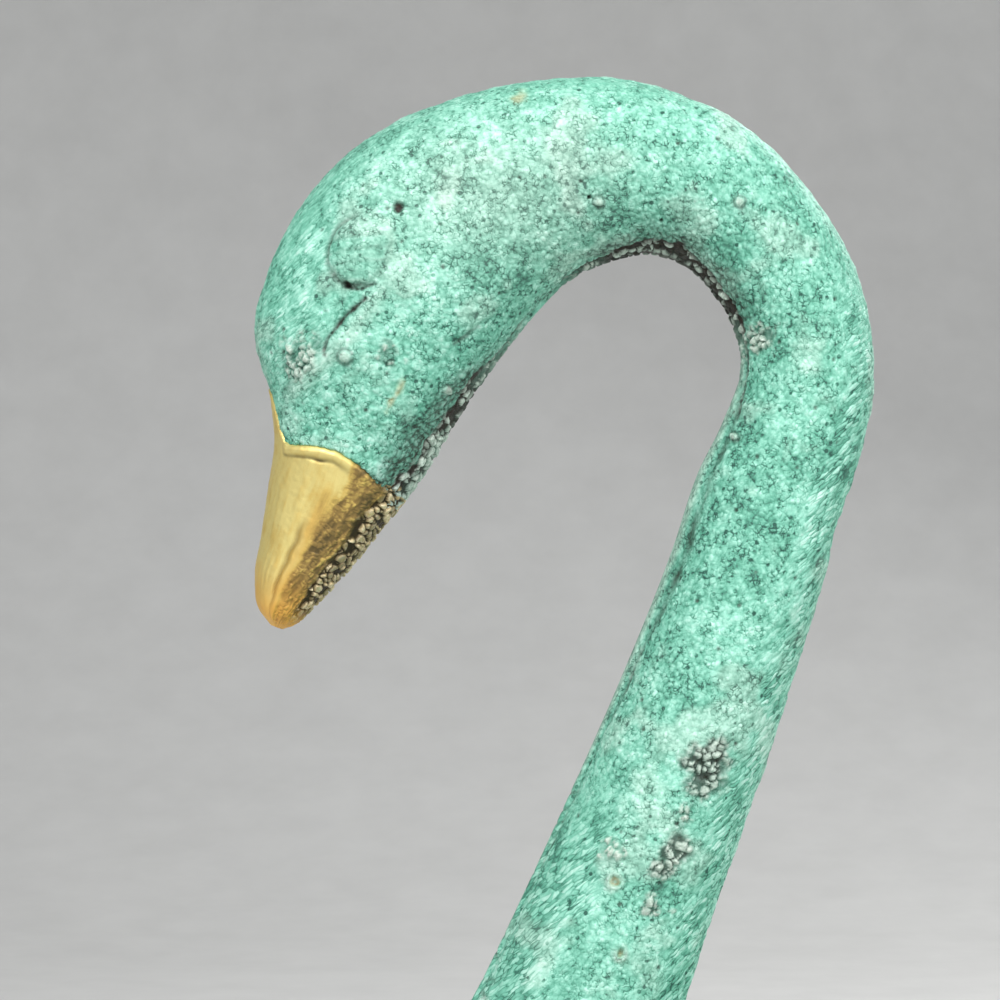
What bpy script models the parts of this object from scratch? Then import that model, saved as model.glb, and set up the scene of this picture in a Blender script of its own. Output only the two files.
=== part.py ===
"""Hollow cast brass swan figurine that rests on its belly.

The head and neck are two half shells joined on the centre plane, with a bare brass bill plugged into
the open end of the head. The neck stands on a two-part hollow body and is drawn down by a stud and nut.
Two wings and a tail fan are screwed on from inside the body, and felt closes the underside.

Frame: metres, +Z up, the swan faces -X, origin at the middle of the felt on the ground.
"""

import math

import bmesh
import bpy
import numpy as np
from mathutils import Matrix, Vector
from mathutils.bvhtree import BVHTree

MM = 0.001

# Driving dimensions in millimetres
WALL = 3.0
SEAM_GAP = 0.3
CLEARANCE = 0.3
FELT_THICKNESS = 2.0
FELT_MARGIN = 1.5

BODY_LENGTH = 160.0
BODY_WIDTH = 82.0
BODY_CENTRE_X = 8.5
SPINE_HEIGHT = 34.0
BACK_HEIGHT = 64.0
KEEL_DEPTH = 6.0
RUMP_LIFT = 12.0

PLUMAGE_ROW = 11.0
PLUMAGE_RELIEF = 1.5
PLUMAGE_SCALLOP = 3.0
PLUMAGE_STEP = 0.8
PLUMAGE_MARGIN = 6.0
BREAST_CAP = 11.0
RUMP_CAP = 18.0

NECK_FOOT_SET_BACK = 28.5
NECK_FOOT_DEPTH = 19.5

BILL_SPIGOT_LENGTH = 8.0
BILL_SPIGOT_FIT = 0.8
BILL_LIP = 0.45
MOUTH_GROOVE = 0.5

EYE_LENGTH = 9.6
EYE_WIDTH = 7.0
EYE_STAND_OUT = 1.0

WING_STAND_OFF = 3.2
WING_THICKNESS = 3.6
FEATHER_LIFT = 1.3
FEATHER_CROWN = 0.35
FEATHER_TILT = 0.45

TAIL_LENGTH = 38.0
TAIL_ROOT_WIDTH = 26.0
TAIL_TIP_WIDTH = 56.0
TAIL_THICKNESS = 4.0
TAIL_ROOT_DEPTH = 8.0
TAIL_RISE = 14.0
TAIL_DROOP = 5.0
TAIL_WALL = 14.0
TAIL_BITE = 7.0
TAIL_FEATHER_LIFT = 1.2
TAIL_EDGE_DROP = 0.9

STUD_RADIUS = 3.0
STUD_BOSS_RADIUS = 8.0
STUD_BOSS_HEIGHT = 6.0
PLUG_ABOVE_FOOT = 25.25
PLUG_THICKNESS = 6.0
PLUG_FIT = 0.5
WASHER_RADIUS = 6.5
WASHER_THICKNESS = 1.5
NUT_ACROSS_FLATS = 10.0
NUT_THICKNESS = 5.0
STUD_END = 2.0
STUD_HOLE_REACH = 20.0

SCREW_RADIUS = 1.5
SCREW_HEAD_RADIUS = 3.2
SCREW_HEAD_HEIGHT = 2.2
SCREW_BITE = 1.0
WING_BOSS_RADIUS = 4.5
SPOT_FACE_RADIUS = 4.2
SPOT_FACE_DEPTH = 0.8
SCREW_HOLE_REACH = 4.0
SPOT_FACE_REACH = 8.0
BOSS_ROOT = 2.0
GROUND_DEPTH = 60.0

# How finely the round forms are divided
NECK_RINGS = 38
BODY_SEGMENTS = 14
CAVITY_RINGS = 18
SECTION_ARC = 12
INNER_ARC = SECTION_ARC * 2 // 3
ROUND_SEGMENTS = 20
SCREW_SEGMENTS = 12
BOSS_SEGMENTS = 16
EDGE_STEPS = 192
FELT_POINTS = 36

# Roundness of the body's sections and their least half width, and how far its skin and its cavity
# reach, from -1 at the breast to 1 at the rump
BODY_SQUARE = 2.2
LEAST_SECTION = 0.4
BREAST_RINGS = (-0.995, -0.98, -0.95, -0.91)
RUMP_RINGS = (0.74, 0.82, 0.88, 0.93, 0.965, 0.995)
CAVITY_REACH = (0.97, 0.86)

# Side drawing of the neck and head, from the foot inside the body up and over to the bill.
# Each row: ventral x, z, dorsal x, z, and the width across. The drawing is then moved as a whole, so that
# the middle of its first row lies at the neck's foot.
NECK_DRAWING = np.array([
    (-58.0, 42.0, -28.0, 47.0, 32.0),
    (-64.6, 58.0, -32.0, 58.0, 31.0),
    (-61.6, 71.0, -35.0, 66.5, 27.0),
    (-54.8, 84.8, -31.8, 77.0, 24.0),
    (-46.0, 103.5, -25.5, 96.5, 21.5),
    (-38.1, 121.2, -19.2, 114.5, 20.0),
    (-31.6, 137.5, -13.9, 131.4, 18.8),
    (-28.5, 146.8, -11.2, 141.2, 17.8),
    (-25.4, 153.2, -8.2, 150.4, 17.0),
    (-23.1, 160.4, -7.0, 160.4, 16.6),
    (-24.8, 166.8, -8.6, 170.8, 16.8),
    (-27.9, 171.2, -12.2, 178.4, 17.2),
    (-31.2, 173.7, -19.4, 187.4, 18.2),
    (-35.0, 174.6, -28.8, 193.5, 19.4),
    (-39.8, 173.8, -40.6, 196.4, 20.8),
    (-44.6, 171.6, -53.5, 195.3, 22.4),
    (-48.6, 168.0, -66.0, 191.1, 23.8),
    (-52.9, 162.6, -75.4, 184.0, 24.6),
    (-57.4, 156.4, -82.2, 172.6, 23.0),
    (-60.6, 151.2, -83.9, 164.4, 20.0),
    (-62.6, 147.7, -82.1, 156.6, 16.6),
    (-64.9, 144.4, -81.6, 152.1, 15.0),
])

# Bill below the head, in the same drawing
BILL_DRAWING = np.array([
    (-65.6, 143.4, -81.6, 151.0, 14.6),
    (-69.2, 139.0, -82.2, 146.2, 12.8),
    (-72.9, 134.5, -83.2, 139.4, 11.4),
    (-76.6, 130.6, -84.0, 133.8, 9.8),
    (-79.1, 128.3, -83.4, 130.0, 6.6),
    (-80.6, 127.6, -82.2, 128.2, 2.4),
])
BILL_RINGS = 14
BILL_FIRST_RING = 0.06
MOUTH_ANGLE = -8.0

# Centre of the eye in the same drawing, and the lean of its long axis from upright
EYE_X = -70.6
EYE_Z = 174.6
EYE_LEAN = 32.0

# Wing edges from the shoulder to the tip: lower x, z and inset, upper x, z and inset, and the crown.
# An inset is measured inwards from the widest part of the wing.
WING_EDGES = np.array([
    (-44.0, 36.0, 16.0, -42.0, 45.0, 18.0, 1.0),
    (-34.0, 25.0, 7.0, -31.0, 54.0, 14.0, 4.0),
    (-12.0, 18.0, 2.0, -10.0, 61.0, 13.0, 5.0),
    (22.0, 19.0, 1.0, 20.0, 67.0, 14.0, 5.0),
    (56.0, 29.0, 8.0, 54.0, 72.0, 18.0, 4.0),
    (86.0, 47.0, 19.0, 84.0, 75.0, 25.0, 2.5),
    (108.0, 66.0, 29.0, 108.0, 76.0, 31.0, 1.0),
])
# Feather tiers: count, start and end along the wing, lift of the tier, and how far the ends slope
FEATHER_TIERS = (
    (7, 0.34, 0.80, 0.0, 0.22),
    (6, 0.20, 0.52, 1.0, 0.06),
    (5, 0.05, 0.31, 2.0, 0.02),
)
# Sections of one feather from its root to its tip, and where its round tip and its full width begin
FEATHER_STATIONS = (0.0, 0.35, 0.66, 0.85, 0.95, 1.0)
FEATHER_TIP_FROM = 0.7
FEATHER_FULL_FROM = 0.5
# A feather's half width as a share of their spacing, its width and its lift at the root, and its sunk share
FEATHER_OVERLAP = 0.62
FEATHER_ROOT_WIDTH = 0.8
FEATHER_ROOT_LIFT = 0.35
FEATHER_SINK = 0.3
# Lift of the lowest tier and of each further one as shares of the feather lift
TIER_LIFTS = (0.6, 0.55)
# Shares of the wing and of the tail that the plain plate under the feathers spans
WING_PLATE = (0.0, 0.72)
TAIL_PLATE = (-0.05, 0.55)
WING_SCREW_SPOTS = (("front", -14.0, 36.0), ("rear", 34.0, 38.0))
# Tail feathers: count, where they start along the tail, and how much shorter the outermost are
TAIL_FEATHERS = 7
TAIL_FEATHER_START = 0.12
TAIL_ROUNDING = 0.22


def drawing_shift():
    """How far the side drawing is moved to put the neck's foot at its place behind the breast."""
    foot = (NECK_DRAWING[0, 0:2] + NECK_DRAWING[0, 2:4]) / 2
    breast = BODY_CENTRE_X - BODY_LENGTH / 2
    return np.array([breast + NECK_FOOT_SET_BACK, BACK_HEIGHT - NECK_FOOT_DEPTH]) - foot


def placed(drawing):
    """Rows of the side drawing at their place over the body."""
    moved = drawing.copy()
    moved[:, 0:4] += np.tile(drawing_shift(), 2)
    return moved


def clear_scene():
    for thing in list(bpy.data.objects):
        bpy.data.objects.remove(thing)


def collection(name):
    made = bpy.data.collections.new(name)
    bpy.context.scene.collection.children.link(made)
    return made


def material(name, colour, roughness, metallic):
    made = bpy.data.materials.new(name)
    made.use_nodes = True
    shader = made.node_tree.nodes["Principled BSDF"]
    shader.inputs["Base Color"].default_value = (*colour, 1.0)
    shader.inputs["Roughness"].default_value = roughness
    shader.inputs["Metallic"].default_value = metallic
    return made


def add_part(name, mesh, finish, sharp_angle=40.0):
    part = bpy.data.objects.new(name, mesh)
    PARTS.objects.link(part)
    mesh.materials.append(finish)
    mesh.shade_smooth()
    mesh.set_sharp_from_angle(angle=math.radians(sharp_angle))
    return part


def add_cutter(name, mesh):
    cutter = bpy.data.objects.new(name, mesh)
    CUTTERS.objects.link(cutter)
    cutter.hide_render = True
    cutter.display_type = "WIRE"
    return cutter


def combine(part, other, operation, use_self=False):
    step = part.modifiers.new(f"{operation.lower()} {other.name}", "BOOLEAN")
    step.operation = operation
    step.object = other
    step.use_self = use_self


def smooth_rows(knots, distance, wanted):
    """Rows read at the wanted distances from a smooth curve through the knots."""
    slopes = np.gradient(knots, distance, axis=0)
    index = np.clip(np.searchsorted(distance, wanted, side="right") - 1, 0, len(distance) - 2)
    span = (distance[index + 1] - distance[index])[:, None]
    u = (wanted - distance[index])[:, None] / span
    return (
        (2 * u**3 - 3 * u**2 + 1) * knots[index]
        + (u**3 - 2 * u**2 + u) * span * slopes[index]
        + (3 * u**2 - 2 * u**3) * knots[index + 1]
        + (u**3 - u**2) * span * slopes[index + 1]
    )


def profile_distance(profile):
    middle = (profile[:, 0:2] + profile[:, 2:4]) / 2
    return np.concatenate([[0.0], np.cumsum(np.linalg.norm(np.diff(middle, axis=0), axis=1))])


def loft(rings):
    """A closed solid through rings of points, in millimetres, that all hold as many points."""
    mesh = bmesh.new()
    rows = [[mesh.verts.new(Vector(point) * MM) for point in ring] for ring in rings]
    count = len(rows[0])
    for near, far in zip(rows, rows[1:]):
        for k in range(count):
            following = (k + 1) % count
            mesh.faces.new((near[k], near[following], far[following], far[k]))
    mesh.faces.new(rows[0])
    mesh.faces.new(rows[-1])
    return finished(mesh, "loft")


def finished(mesh, name):
    bmesh.ops.recalc_face_normals(mesh, faces=mesh.faces)
    made = bpy.data.meshes.new(name)
    mesh.to_mesh(made)
    mesh.free()
    return made


def bent(value, power):
    return np.sign(value) * np.abs(value) ** power


def half_section(row, side, inset=0.0, square=2.1, arc=SECTION_ARC):
    """One side of a neck section, from the ventral to the dorsal edge, inset from the surface."""
    ventral, dorsal, width = row[0:2], row[2:4], row[4]
    middle = (ventral + dorsal) / 2
    reach = np.linalg.norm(dorsal - ventral) / 2
    axis = (dorsal - ventral) / (2 * reach)
    angles = np.radians(np.linspace(-90.0, 90.0, arc + 1))
    along = (reach - inset) * bent(np.sin(angles), 2 / square)
    across = np.maximum(width / 2 - inset, 1.0) * bent(np.maximum(np.cos(angles), 0.0), 2 / square)
    points = middle + along[:, None] * axis
    across = side * np.maximum(across, SEAM_GAP / 2)
    return np.column_stack([points[:, 0], across, points[:, 1]])


def closed_ring(left, right):
    """Two half sections joined on the centre plane."""
    left = left.copy()
    left[[0, -1], 1] = 0.0
    return np.vstack([left, right[::-1][1:-1]])


def whole_section(row, inset, arc=SECTION_ARC):
    return closed_ring(half_section(row, -1, inset, arc=arc), half_section(row, 1, inset, arc=arc))


def neck_rows(count, first=0.0, last=1.0):
    distance = profile_distance(NECK_PROFILE)
    wanted = np.linspace(first, last, count) * distance[-1]
    return smooth_rows(NECK_PROFILE, distance, wanted)


def neck_half(name, side, finish):
    rings = []
    for row in neck_rows(NECK_RINGS):
        outer = half_section(row, side)
        inner = half_section(row, side, WALL, arc=INNER_ARC)
        rings.append(np.vstack([outer, inner[::-1]]))
    shell = add_part(name, loft(rings), finish)
    combine(shell, eye_form(side, shell), "UNION")
    combine(shell, BODY_CLEARANCE, "DIFFERENCE")
    return shell


def eye_form(side, shell):
    """An egg-shaped dome that stands out of the side of the head."""
    tree = BVHTree.FromObject(shell, bpy.context.evaluated_depsgraph_get())
    x, z = drawing_shift() + (EYE_X, EYE_Z)
    start = Vector((x, side * BODY_WIDTH, z)) * MM
    spot, normal, _, _ = tree.ray_cast(start, Vector((0, -side, 0)))
    depth = EYE_STAND_OUT * 2
    mesh = bmesh.new()
    bmesh.ops.create_uvsphere(mesh, u_segments=ROUND_SEGMENTS, v_segments=8, radius=0.5 * MM)
    size = Matrix.Diagonal((EYE_WIDTH, EYE_LENGTH, 2 * depth, 1.0))
    upright = Vector((math.sin(math.radians(EYE_LEAN)), 0, math.cos(math.radians(EYE_LEAN))))
    across = upright.cross(normal).normalized()
    upright = normal.cross(across)
    turn = Matrix((across, upright, normal)).transposed().to_4x4()
    place = Matrix.Translation(spot + normal * (EYE_STAND_OUT - depth) * MM)
    bmesh.ops.transform(mesh, matrix=place @ turn @ size, verts=mesh.verts)
    return add_cutter(f"eye_dome_{'left' if side < 0 else 'right'}", finished(mesh, "eye"))


def bill_ring(row, groove):
    """A closed bill section with the mouth line let into both sides."""
    angles = np.linspace(-90.0, 90.0, SECTION_ARC + 1)
    nearest = int(np.argmin(np.abs(angles - MOUTH_ANGLE)))
    sides = []
    for side in (-1, 1):
        half = half_section(row, side, square=2.2)
        half[nearest, 1] -= side * min(groove, abs(half[nearest, 1]) / 2)
        sides.append(half)
    return closed_ring(*sides)


def make_bill(finish):
    distance = profile_distance(BILL_PROFILE)
    joint = NECK_PROFILE[-1].copy()
    away = BILL_PROFILE[1, 0:4] - BILL_PROFILE[0, 0:4]
    drop = np.array([away[0] + away[2], away[1] + away[3]])
    drop = drop / np.linalg.norm(drop)
    root = joint.copy()
    root[0:4] += np.tile(drop * CLEARANCE, 2)
    spigot_end = joint.copy()
    spigot_end[0:4] -= np.tile(drop * BILL_SPIGOT_LENGTH, 2)
    spigot = WALL + CLEARANCE + BILL_SPIGOT_FIT
    rings = [whole_section(spigot_end, spigot), whole_section(root, spigot)]
    lip = root.copy()
    lip[4] += 2 * BILL_LIP
    rings.append(bill_ring(lip, 0.0))
    wanted = np.linspace(BILL_FIRST_RING, 1.0, BILL_RINGS) * distance[-1]
    for row in smooth_rows(BILL_PROFILE, distance, wanted):
        rings.append(bill_ring(row, MOUTH_GROOVE))
    return add_part("bill", loft(rings), finish, sharp_angle=35.0)


def body_shape(xi):
    """Half width, spine height, rise to the back and drop to the keel at -1 (breast) to 1 (rump)."""
    fore, aft = np.maximum(-xi, 0.0), np.maximum(xi, 0.0)
    width = (1 - fore**2.6) ** 0.5 * (1 - aft**1.9) ** 0.8
    back = (1 - fore**4.0) ** 0.45 * (1 - aft**2.0) ** 0.8
    keel = (1 - fore**2.4) ** 0.5 * (1 - aft**2.2) ** 0.8
    spine = SPINE_HEIGHT + RUMP_LIFT * aft**2
    rise = (BACK_HEIGHT - SPINE_HEIGHT) * back
    drop = (SPINE_HEIGHT + KEEL_DEPTH) * keel
    return BODY_WIDTH / 2 * width, spine, rise, drop


def body_arc(xi, side, inset, arc, lift=0.0):
    """One side of a body section from the keel to the back; xi and lift may differ from point to point.

    The inset makes the whole body smaller, and the lift only stands points out from its axis.
    """
    width, spine, rise, drop = body_shape(xi)
    angles = np.radians(np.linspace(-90.0, 90.0, arc + 1))
    up = bent(np.sin(angles), 2 / BODY_SQUARE)
    height = np.maximum(np.where(up > 0, rise, drop) - inset + lift, LEAST_SECTION) * up
    across = np.maximum(width - inset + lift, LEAST_SECTION)
    across = across * bent(np.maximum(np.cos(angles), 0.0), 2 / BODY_SQUARE)
    x = BODY_CENTRE_X + xi * (BODY_LENGTH / 2 - inset)
    across = side * np.maximum(across, SEAM_GAP / 2)
    return np.column_stack([np.broadcast_to(x, arc + 1), across, spine + height])


def cavity_rings():
    """Rings round the hollow inside both halves of the body."""
    rings = []
    fore, aft = CAVITY_REACH
    for share in -np.cos(np.linspace(0.0, math.pi, CAVITY_RINGS)):
        xi = share * (fore if share < 0 else aft)
        rings.append(closed_ring(body_arc(xi, -1, WALL, INNER_ARC), body_arc(xi, 1, WALL, INNER_ARC)))
    return rings


def plumage_rings():
    """Rings along the body's skin: their place from -1 to 1 at each point, and their share of the relief.

    Every row of feathers rises from a low ring to a high ring at its tips. Between two tips both rings
    are set back, and the rows are staggered.
    """
    half = BODY_LENGTH / 2
    columns = np.arange(BODY_SEGMENTS + 1)
    plan = [(np.full(BODY_SEGMENTS + 1, xi), 0.0) for xi in BREAST_RINGS]
    start = BREAST_CAP - half
    row_count = int((BODY_LENGTH - BREAST_CAP - RUMP_CAP) // PLUMAGE_ROW)
    valley = np.zeros(BODY_SEGMENTS + 1)
    for row in range(row_count):
        low = start + row * PLUMAGE_ROW + PLUMAGE_STEP - valley * PLUMAGE_SCALLOP
        plan.append((low / half, 0.0))
        valley = (columns + row) % 2
        high = start + (row + 1) * PLUMAGE_ROW - valley * PLUMAGE_SCALLOP
        plan.append((high / half, 1 - valley / 2))
    plan += [(np.full(BODY_SEGMENTS + 1, xi), 0.0) for xi in RUMP_RINGS if xi * half > high.max()]
    return plan


def plumage_share(points):
    """How far the plumage stands out at a point: all the way, or less near the wings and the neck's foot."""
    x, y, z = points.T
    lower = np.interp(x, WING_EDGES[:, 0], WING_EDGES[:, 1])
    upper = np.interp(x, WING_EDGES[:, 3], WING_EDGES[:, 4])
    past_ends = np.maximum(WING_EDGES[0, 0] - x, x - WING_EDGES[-1, 0])
    past_wing = np.maximum(np.maximum(lower - z, z - upper), past_ends)
    inner = np.interp(x, WING_EDGES[:, 3], wing_reach() - WING_EDGES[:, 5]) - WING_THICKNESS
    past_wing = np.where(z > SPINE_HEIGHT, np.maximum(past_wing, inner - np.abs(y)), past_wing)
    ventral, _, dorsal, _, width = NECK_PROFILE[1]
    reach = (dorsal - ventral) / 2
    past_neck = (np.hypot((x - ventral - reach) / reach, 2 * y / width) - 1) * reach
    past_neck = np.where(z > SPINE_HEIGHT, past_neck, PLUMAGE_MARGIN)
    return np.clip(np.minimum(past_wing, past_neck) / PLUMAGE_MARGIN, 0.0, 1.0)


def skin_rings(side, inset):
    """Rings of the feathered skin: one half for a side of -1 or 1, and both halves for 0."""
    rings = []
    for xi, share in plumage_rings():
        halves = []
        for one_side in (-1, 1):
            lift = PLUMAGE_RELIEF * share * plumage_share(body_arc(xi, one_side, 0.0, BODY_SEGMENTS))
            halves.append(body_arc(xi, one_side, inset, BODY_SEGMENTS, lift))
        rings.append(closed_ring(*halves) if side == 0 else halves[side > 0])
    return rings


def body_holds(x, y, z):
    xi = (x - BODY_CENTRE_X) / (BODY_LENGTH / 2)
    if abs(xi) >= 1:
        return False
    width, spine, rise, drop = body_shape(xi)
    height = rise if z > spine else drop
    return (abs(y) / width) ** BODY_SQUARE + (abs(z - spine) / height) ** BODY_SQUARE < 1


def body_surface_along(start, direction):
    """The distance along a direction at which it first meets the outside of the body."""
    distance = 0.0
    step = 0.05
    while not body_holds(*(start + direction * distance)):
        distance += step
    return distance


def rod(start, end, radius, segments=ROUND_SEGMENTS):
    """A plain cylinder between two points in millimetres."""
    start, end = Vector(start), Vector(end)
    mesh = bmesh.new()
    bmesh.ops.create_cone(
        mesh,
        cap_ends=True,
        segments=segments,
        radius1=radius * MM,
        radius2=radius * MM,
        depth=(end - start).length * MM,
    )
    turn = Vector((0, 0, 1)).rotation_difference((end - start).normalized()).to_matrix().to_4x4()
    place = Matrix.Translation((start + end) / 2 * MM)
    bmesh.ops.transform(mesh, matrix=place @ turn, verts=mesh.verts)
    return finished(mesh, "rod")


def stud_line():
    """The plug's centre and the direction of the stud, square to the plug and downwards."""
    row = smooth_rows(NECK_PROFILE, profile_distance(NECK_PROFILE), np.array([PLUG_ABOVE_FOOT]))[0]
    across = row[2:4] - row[0:2]
    across = across / np.linalg.norm(across)
    centre = (row[0:2] + row[2:4]) / 2
    return np.array([centre[0], 0.0, centre[1]]), np.array([across[1], 0.0, -across[0]])


def stud_rod(start, end, radius, segments=ROUND_SEGMENTS):
    """A cylinder on the stud's line, between two distances down from the plug's centre."""
    return rod(PLUG_CENTRE + STUD_DOWN * start, PLUG_CENTRE + STUD_DOWN * end, radius, segments)


def make_neck_fixing(finish):
    """Plug, stud, washer and nut that hold the neck down on the body."""
    distance = profile_distance(NECK_PROFILE)
    wanted = PLUG_ABOVE_FOOT + np.linspace(-0.5, 0.5, 3) * PLUG_THICKNESS
    rows = smooth_rows(NECK_PROFILE, distance, wanted)
    plug = add_part("neck_foot_plug", loft([whole_section(row, WALL + PLUG_FIT) for row in rows]), finish)
    combine(plug, STUD_HOLE, "DIFFERENCE")
    washer_top = BOSS_SEAT + CLEARANCE
    washer_end = washer_top + WASHER_THICKNESS
    nut_top = washer_end + CLEARANCE
    nut_end = nut_top + NUT_THICKNESS
    add_part("neck_stud", stud_rod(-PLUG_THICKNESS / 2, nut_end + STUD_END, STUD_RADIUS), finish)
    washer = add_part("neck_washer", stud_rod(washer_top, washer_end, WASHER_RADIUS), finish)
    combine(washer, STUD_HOLE, "DIFFERENCE")
    corner = NUT_ACROSS_FLATS / math.sqrt(3)
    nut = add_part("neck_nut", stud_rod(nut_top, nut_end, corner, segments=6), finish)
    combine(nut, STUD_HOLE, "DIFFERENCE")


def wing_reach():
    """How far the middle of a wing stands from the centre plane at its widest."""
    return BODY_WIDTH / 2 + WING_STAND_OFF


def wing_surface(side):
    """A function from (along, up), each 0 to 1, to a point on the middle of the wing."""
    stations = np.linspace(0.0, 1.0, len(WING_EDGES))

    def surface(along, up):
        row = smooth_rows(WING_EDGES, stations, np.array([along]))[0]
        x, z, inset = row[0:3] + (row[3:6] - row[0:3]) * up
        crown = row[6] * 4 * up * (1 - up)
        return np.array([x, side * (wing_reach() - inset + crown), z])

    return surface


def tail_surface(along, across):
    """A point on the tail fan: along from root to tip, across from 0 to 1."""
    spread = TAIL_ROOT_WIDTH + (TAIL_TIP_WIDTH - TAIL_ROOT_WIDTH) * along
    y = (across - 0.5) * spread
    root_x = BODY_CENTRE_X + BODY_LENGTH / 2 - TAIL_ROOT_DEPTH
    root_z = SPINE_HEIGHT + RUMP_LIFT
    rise = TAIL_RISE * max(along, 0.0) ** 1.5
    droop = TAIL_DROOP * (2 * across - 1) ** 2
    return np.array([root_x + TAIL_LENGTH * along, y, root_z + rise - droop])


def normal_of(surface, along, across, outwards):
    small = 0.01
    a = surface(along + small, across) - surface(along - small, across)
    b = surface(along, across + small) - surface(along, across - small)
    normal = np.cross(a, b)
    normal = normal / np.linalg.norm(normal)
    return normal if np.dot(normal, outwards) > 0 else -normal


def plate(surface, outwards, thickness, along, across):
    """A sheet of even thickness on a surface, as rings round its edge from root to tip."""
    rings = []
    for a in along:
        upper, lower = [], []
        for b in across:
            normal = normal_of(surface, a, b, outwards) * thickness / 2
            upper.append(surface(a, b) + normal)
            lower.append(surface(a, b) - normal)
        rings.append(np.array(upper + lower[::-1]))
    return rings


def feather(surface, outwards, start, end, place, count, thickness, lift, tilt):
    """Rings of one of a row of feathers: a crowned blade with a round tip that lies on a plate."""
    rings = []
    for a in FEATHER_STATIONS:
        along = start + (end - start) * a
        round_tip = max((a - FEATHER_TIP_FROM) / (1 - FEATHER_TIP_FROM), 0.0)
        widening = FEATHER_ROOT_WIDTH + (1 - FEATHER_ROOT_WIDTH) * min(a / FEATHER_FULL_FROM, 1.0)
        reach = FEATHER_OVERLAP / count * widening * math.sqrt(max(1 - round_tip**2, 0.04))
        rise = thickness / 2 + lift
        rise = rise * (FEATHER_ROOT_LIFT + (1 - FEATHER_ROOT_LIFT) * a)
        upper, lower = [], []
        for b in (-1.0, 0.0, 1.0):
            across = (place + 0.5) / count + reach * b
            normal = normal_of(surface, along, across, outwards)
            point = surface(along, across)
            crown = FEATHER_CROWN * (1 - b * b)
            upper.append(point + normal * (rise + tilt * b + crown))
            lower.append(point - normal * FEATHER_SINK * thickness)
        rings.append(np.array(upper + lower[::-1]))
    return rings


def joined(lofts, name):
    """Several lofts in one mesh, to be fused by a Boolean."""
    whole = bmesh.new()
    for mesh in lofts:
        whole.from_mesh(mesh)
        bpy.data.meshes.remove(mesh)
    made = bpy.data.meshes.new(name)
    whole.to_mesh(made)
    whole.free()
    return made


def make_wing(name, side, finish):
    surface = wing_surface(side)
    outwards = np.array([0.0, side, 0.0])
    along = np.linspace(*WING_PLATE, 10)
    across = np.linspace(0.0, 1.0, 6)
    wing = add_part(name, loft(plate(surface, outwards, WING_THICKNESS, along, across)), finish)
    blades = []
    lowest, further = TIER_LIFTS
    for count, start, end, tier, slope in FEATHER_TIERS:
        lift = FEATHER_LIFT * (lowest + tier * further)
        for place in range(count):
            tip = end + slope * place / (count - 1)
            blades.append(loft(feather(
                surface, outwards, start, tip, place, count, WING_THICKNESS, lift, -FEATHER_TILT
            )))
    feathers = add_cutter(f"{name}_feathers", joined(blades, "feathers"))
    combine(wing, feathers, "UNION", use_self=True)
    for spot, _, _ in WING_SCREW_SPOTS:
        combine(wing, BOSSES[f"{name}_{spot}"], "UNION")
    combine(wing, BODY_CLEARANCE, "DIFFERENCE")
    for spot, _, _ in WING_SCREW_SPOTS:
        combine(wing, SCREW_HOLES[f"{name}_{spot}"], "DIFFERENCE")
    return wing


def wing_screw_line(side, x, z):
    """Where a wing screw crosses the outside of the body, and the way it points."""
    inwards = np.array([0.0, -side, 0.0])
    start = np.array([x, side * BODY_WIDTH, z])
    return start + inwards * body_surface_along(start, inwards), -inwards


def tail_screw_line():
    root = tail_surface(0.0, 0.5)
    start = np.array([root[0] + BODY_LENGTH, 0.0, root[2]])
    forwards = np.array([-1.0, 0.0, 0.0])
    return start + forwards * body_surface_along(start, forwards), -forwards


def wing_gap(side, point):
    """How far the middle of the wing stands outside a point on the body."""
    surface = wing_surface(side)
    spots = [surface(a, b) for a in np.linspace(0.05, 0.7, 40) for b in np.linspace(0.1, 0.9, 25)]
    nearest = min(spots, key=lambda spot: abs(spot[0] - point[0]) + abs(spot[2] - point[2]))
    return abs(nearest[1]) - abs(point[1])


def screw_places():
    """Every screw's name with its point on the body, its direction, the wall there and its bite beyond."""
    places = {}
    for label, side in (("left", -1), ("right", 1)):
        for spot, x, z in WING_SCREW_SPOTS:
            point, out = wing_screw_line(side, x, z)
            places[f"wing_{label}_{spot}"] = (point, out, WALL, wing_gap(side, point) + SCREW_BITE)
    places["tail"] = (*tail_screw_line(), TAIL_WALL, TAIL_BITE)
    return places


def add_screw_cutters():
    """For each screw a clearance hole with its flat seat, cut from inside the body."""
    for name, (point, out, wall, bite) in screw_places().items():
        hole = rod(
            point - out * (wall + SCREW_HOLE_REACH),
            point + out * (bite + CLEARANCE),
            SCREW_RADIUS + CLEARANCE,
            SCREW_SEGMENTS,
        )
        SCREW_HOLES[name] = add_cutter(f"hole_{name}", hole)
        boss_end = point + out * (bite - SCREW_BITE)
        boss = rod(point - out * BOSS_ROOT, boss_end, WING_BOSS_RADIUS, BOSS_SEGMENTS)
        BOSSES[name] = add_cutter(f"boss_{name}", boss)
        seat = rod(
            point - out * (wall + SPOT_FACE_REACH),
            point - out * (wall - SPOT_FACE_DEPTH),
            SPOT_FACE_RADIUS,
            BOSS_SEGMENTS,
        )
        SPOT_FACES[name] = add_cutter(f"seat_{name}", seat)


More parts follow.
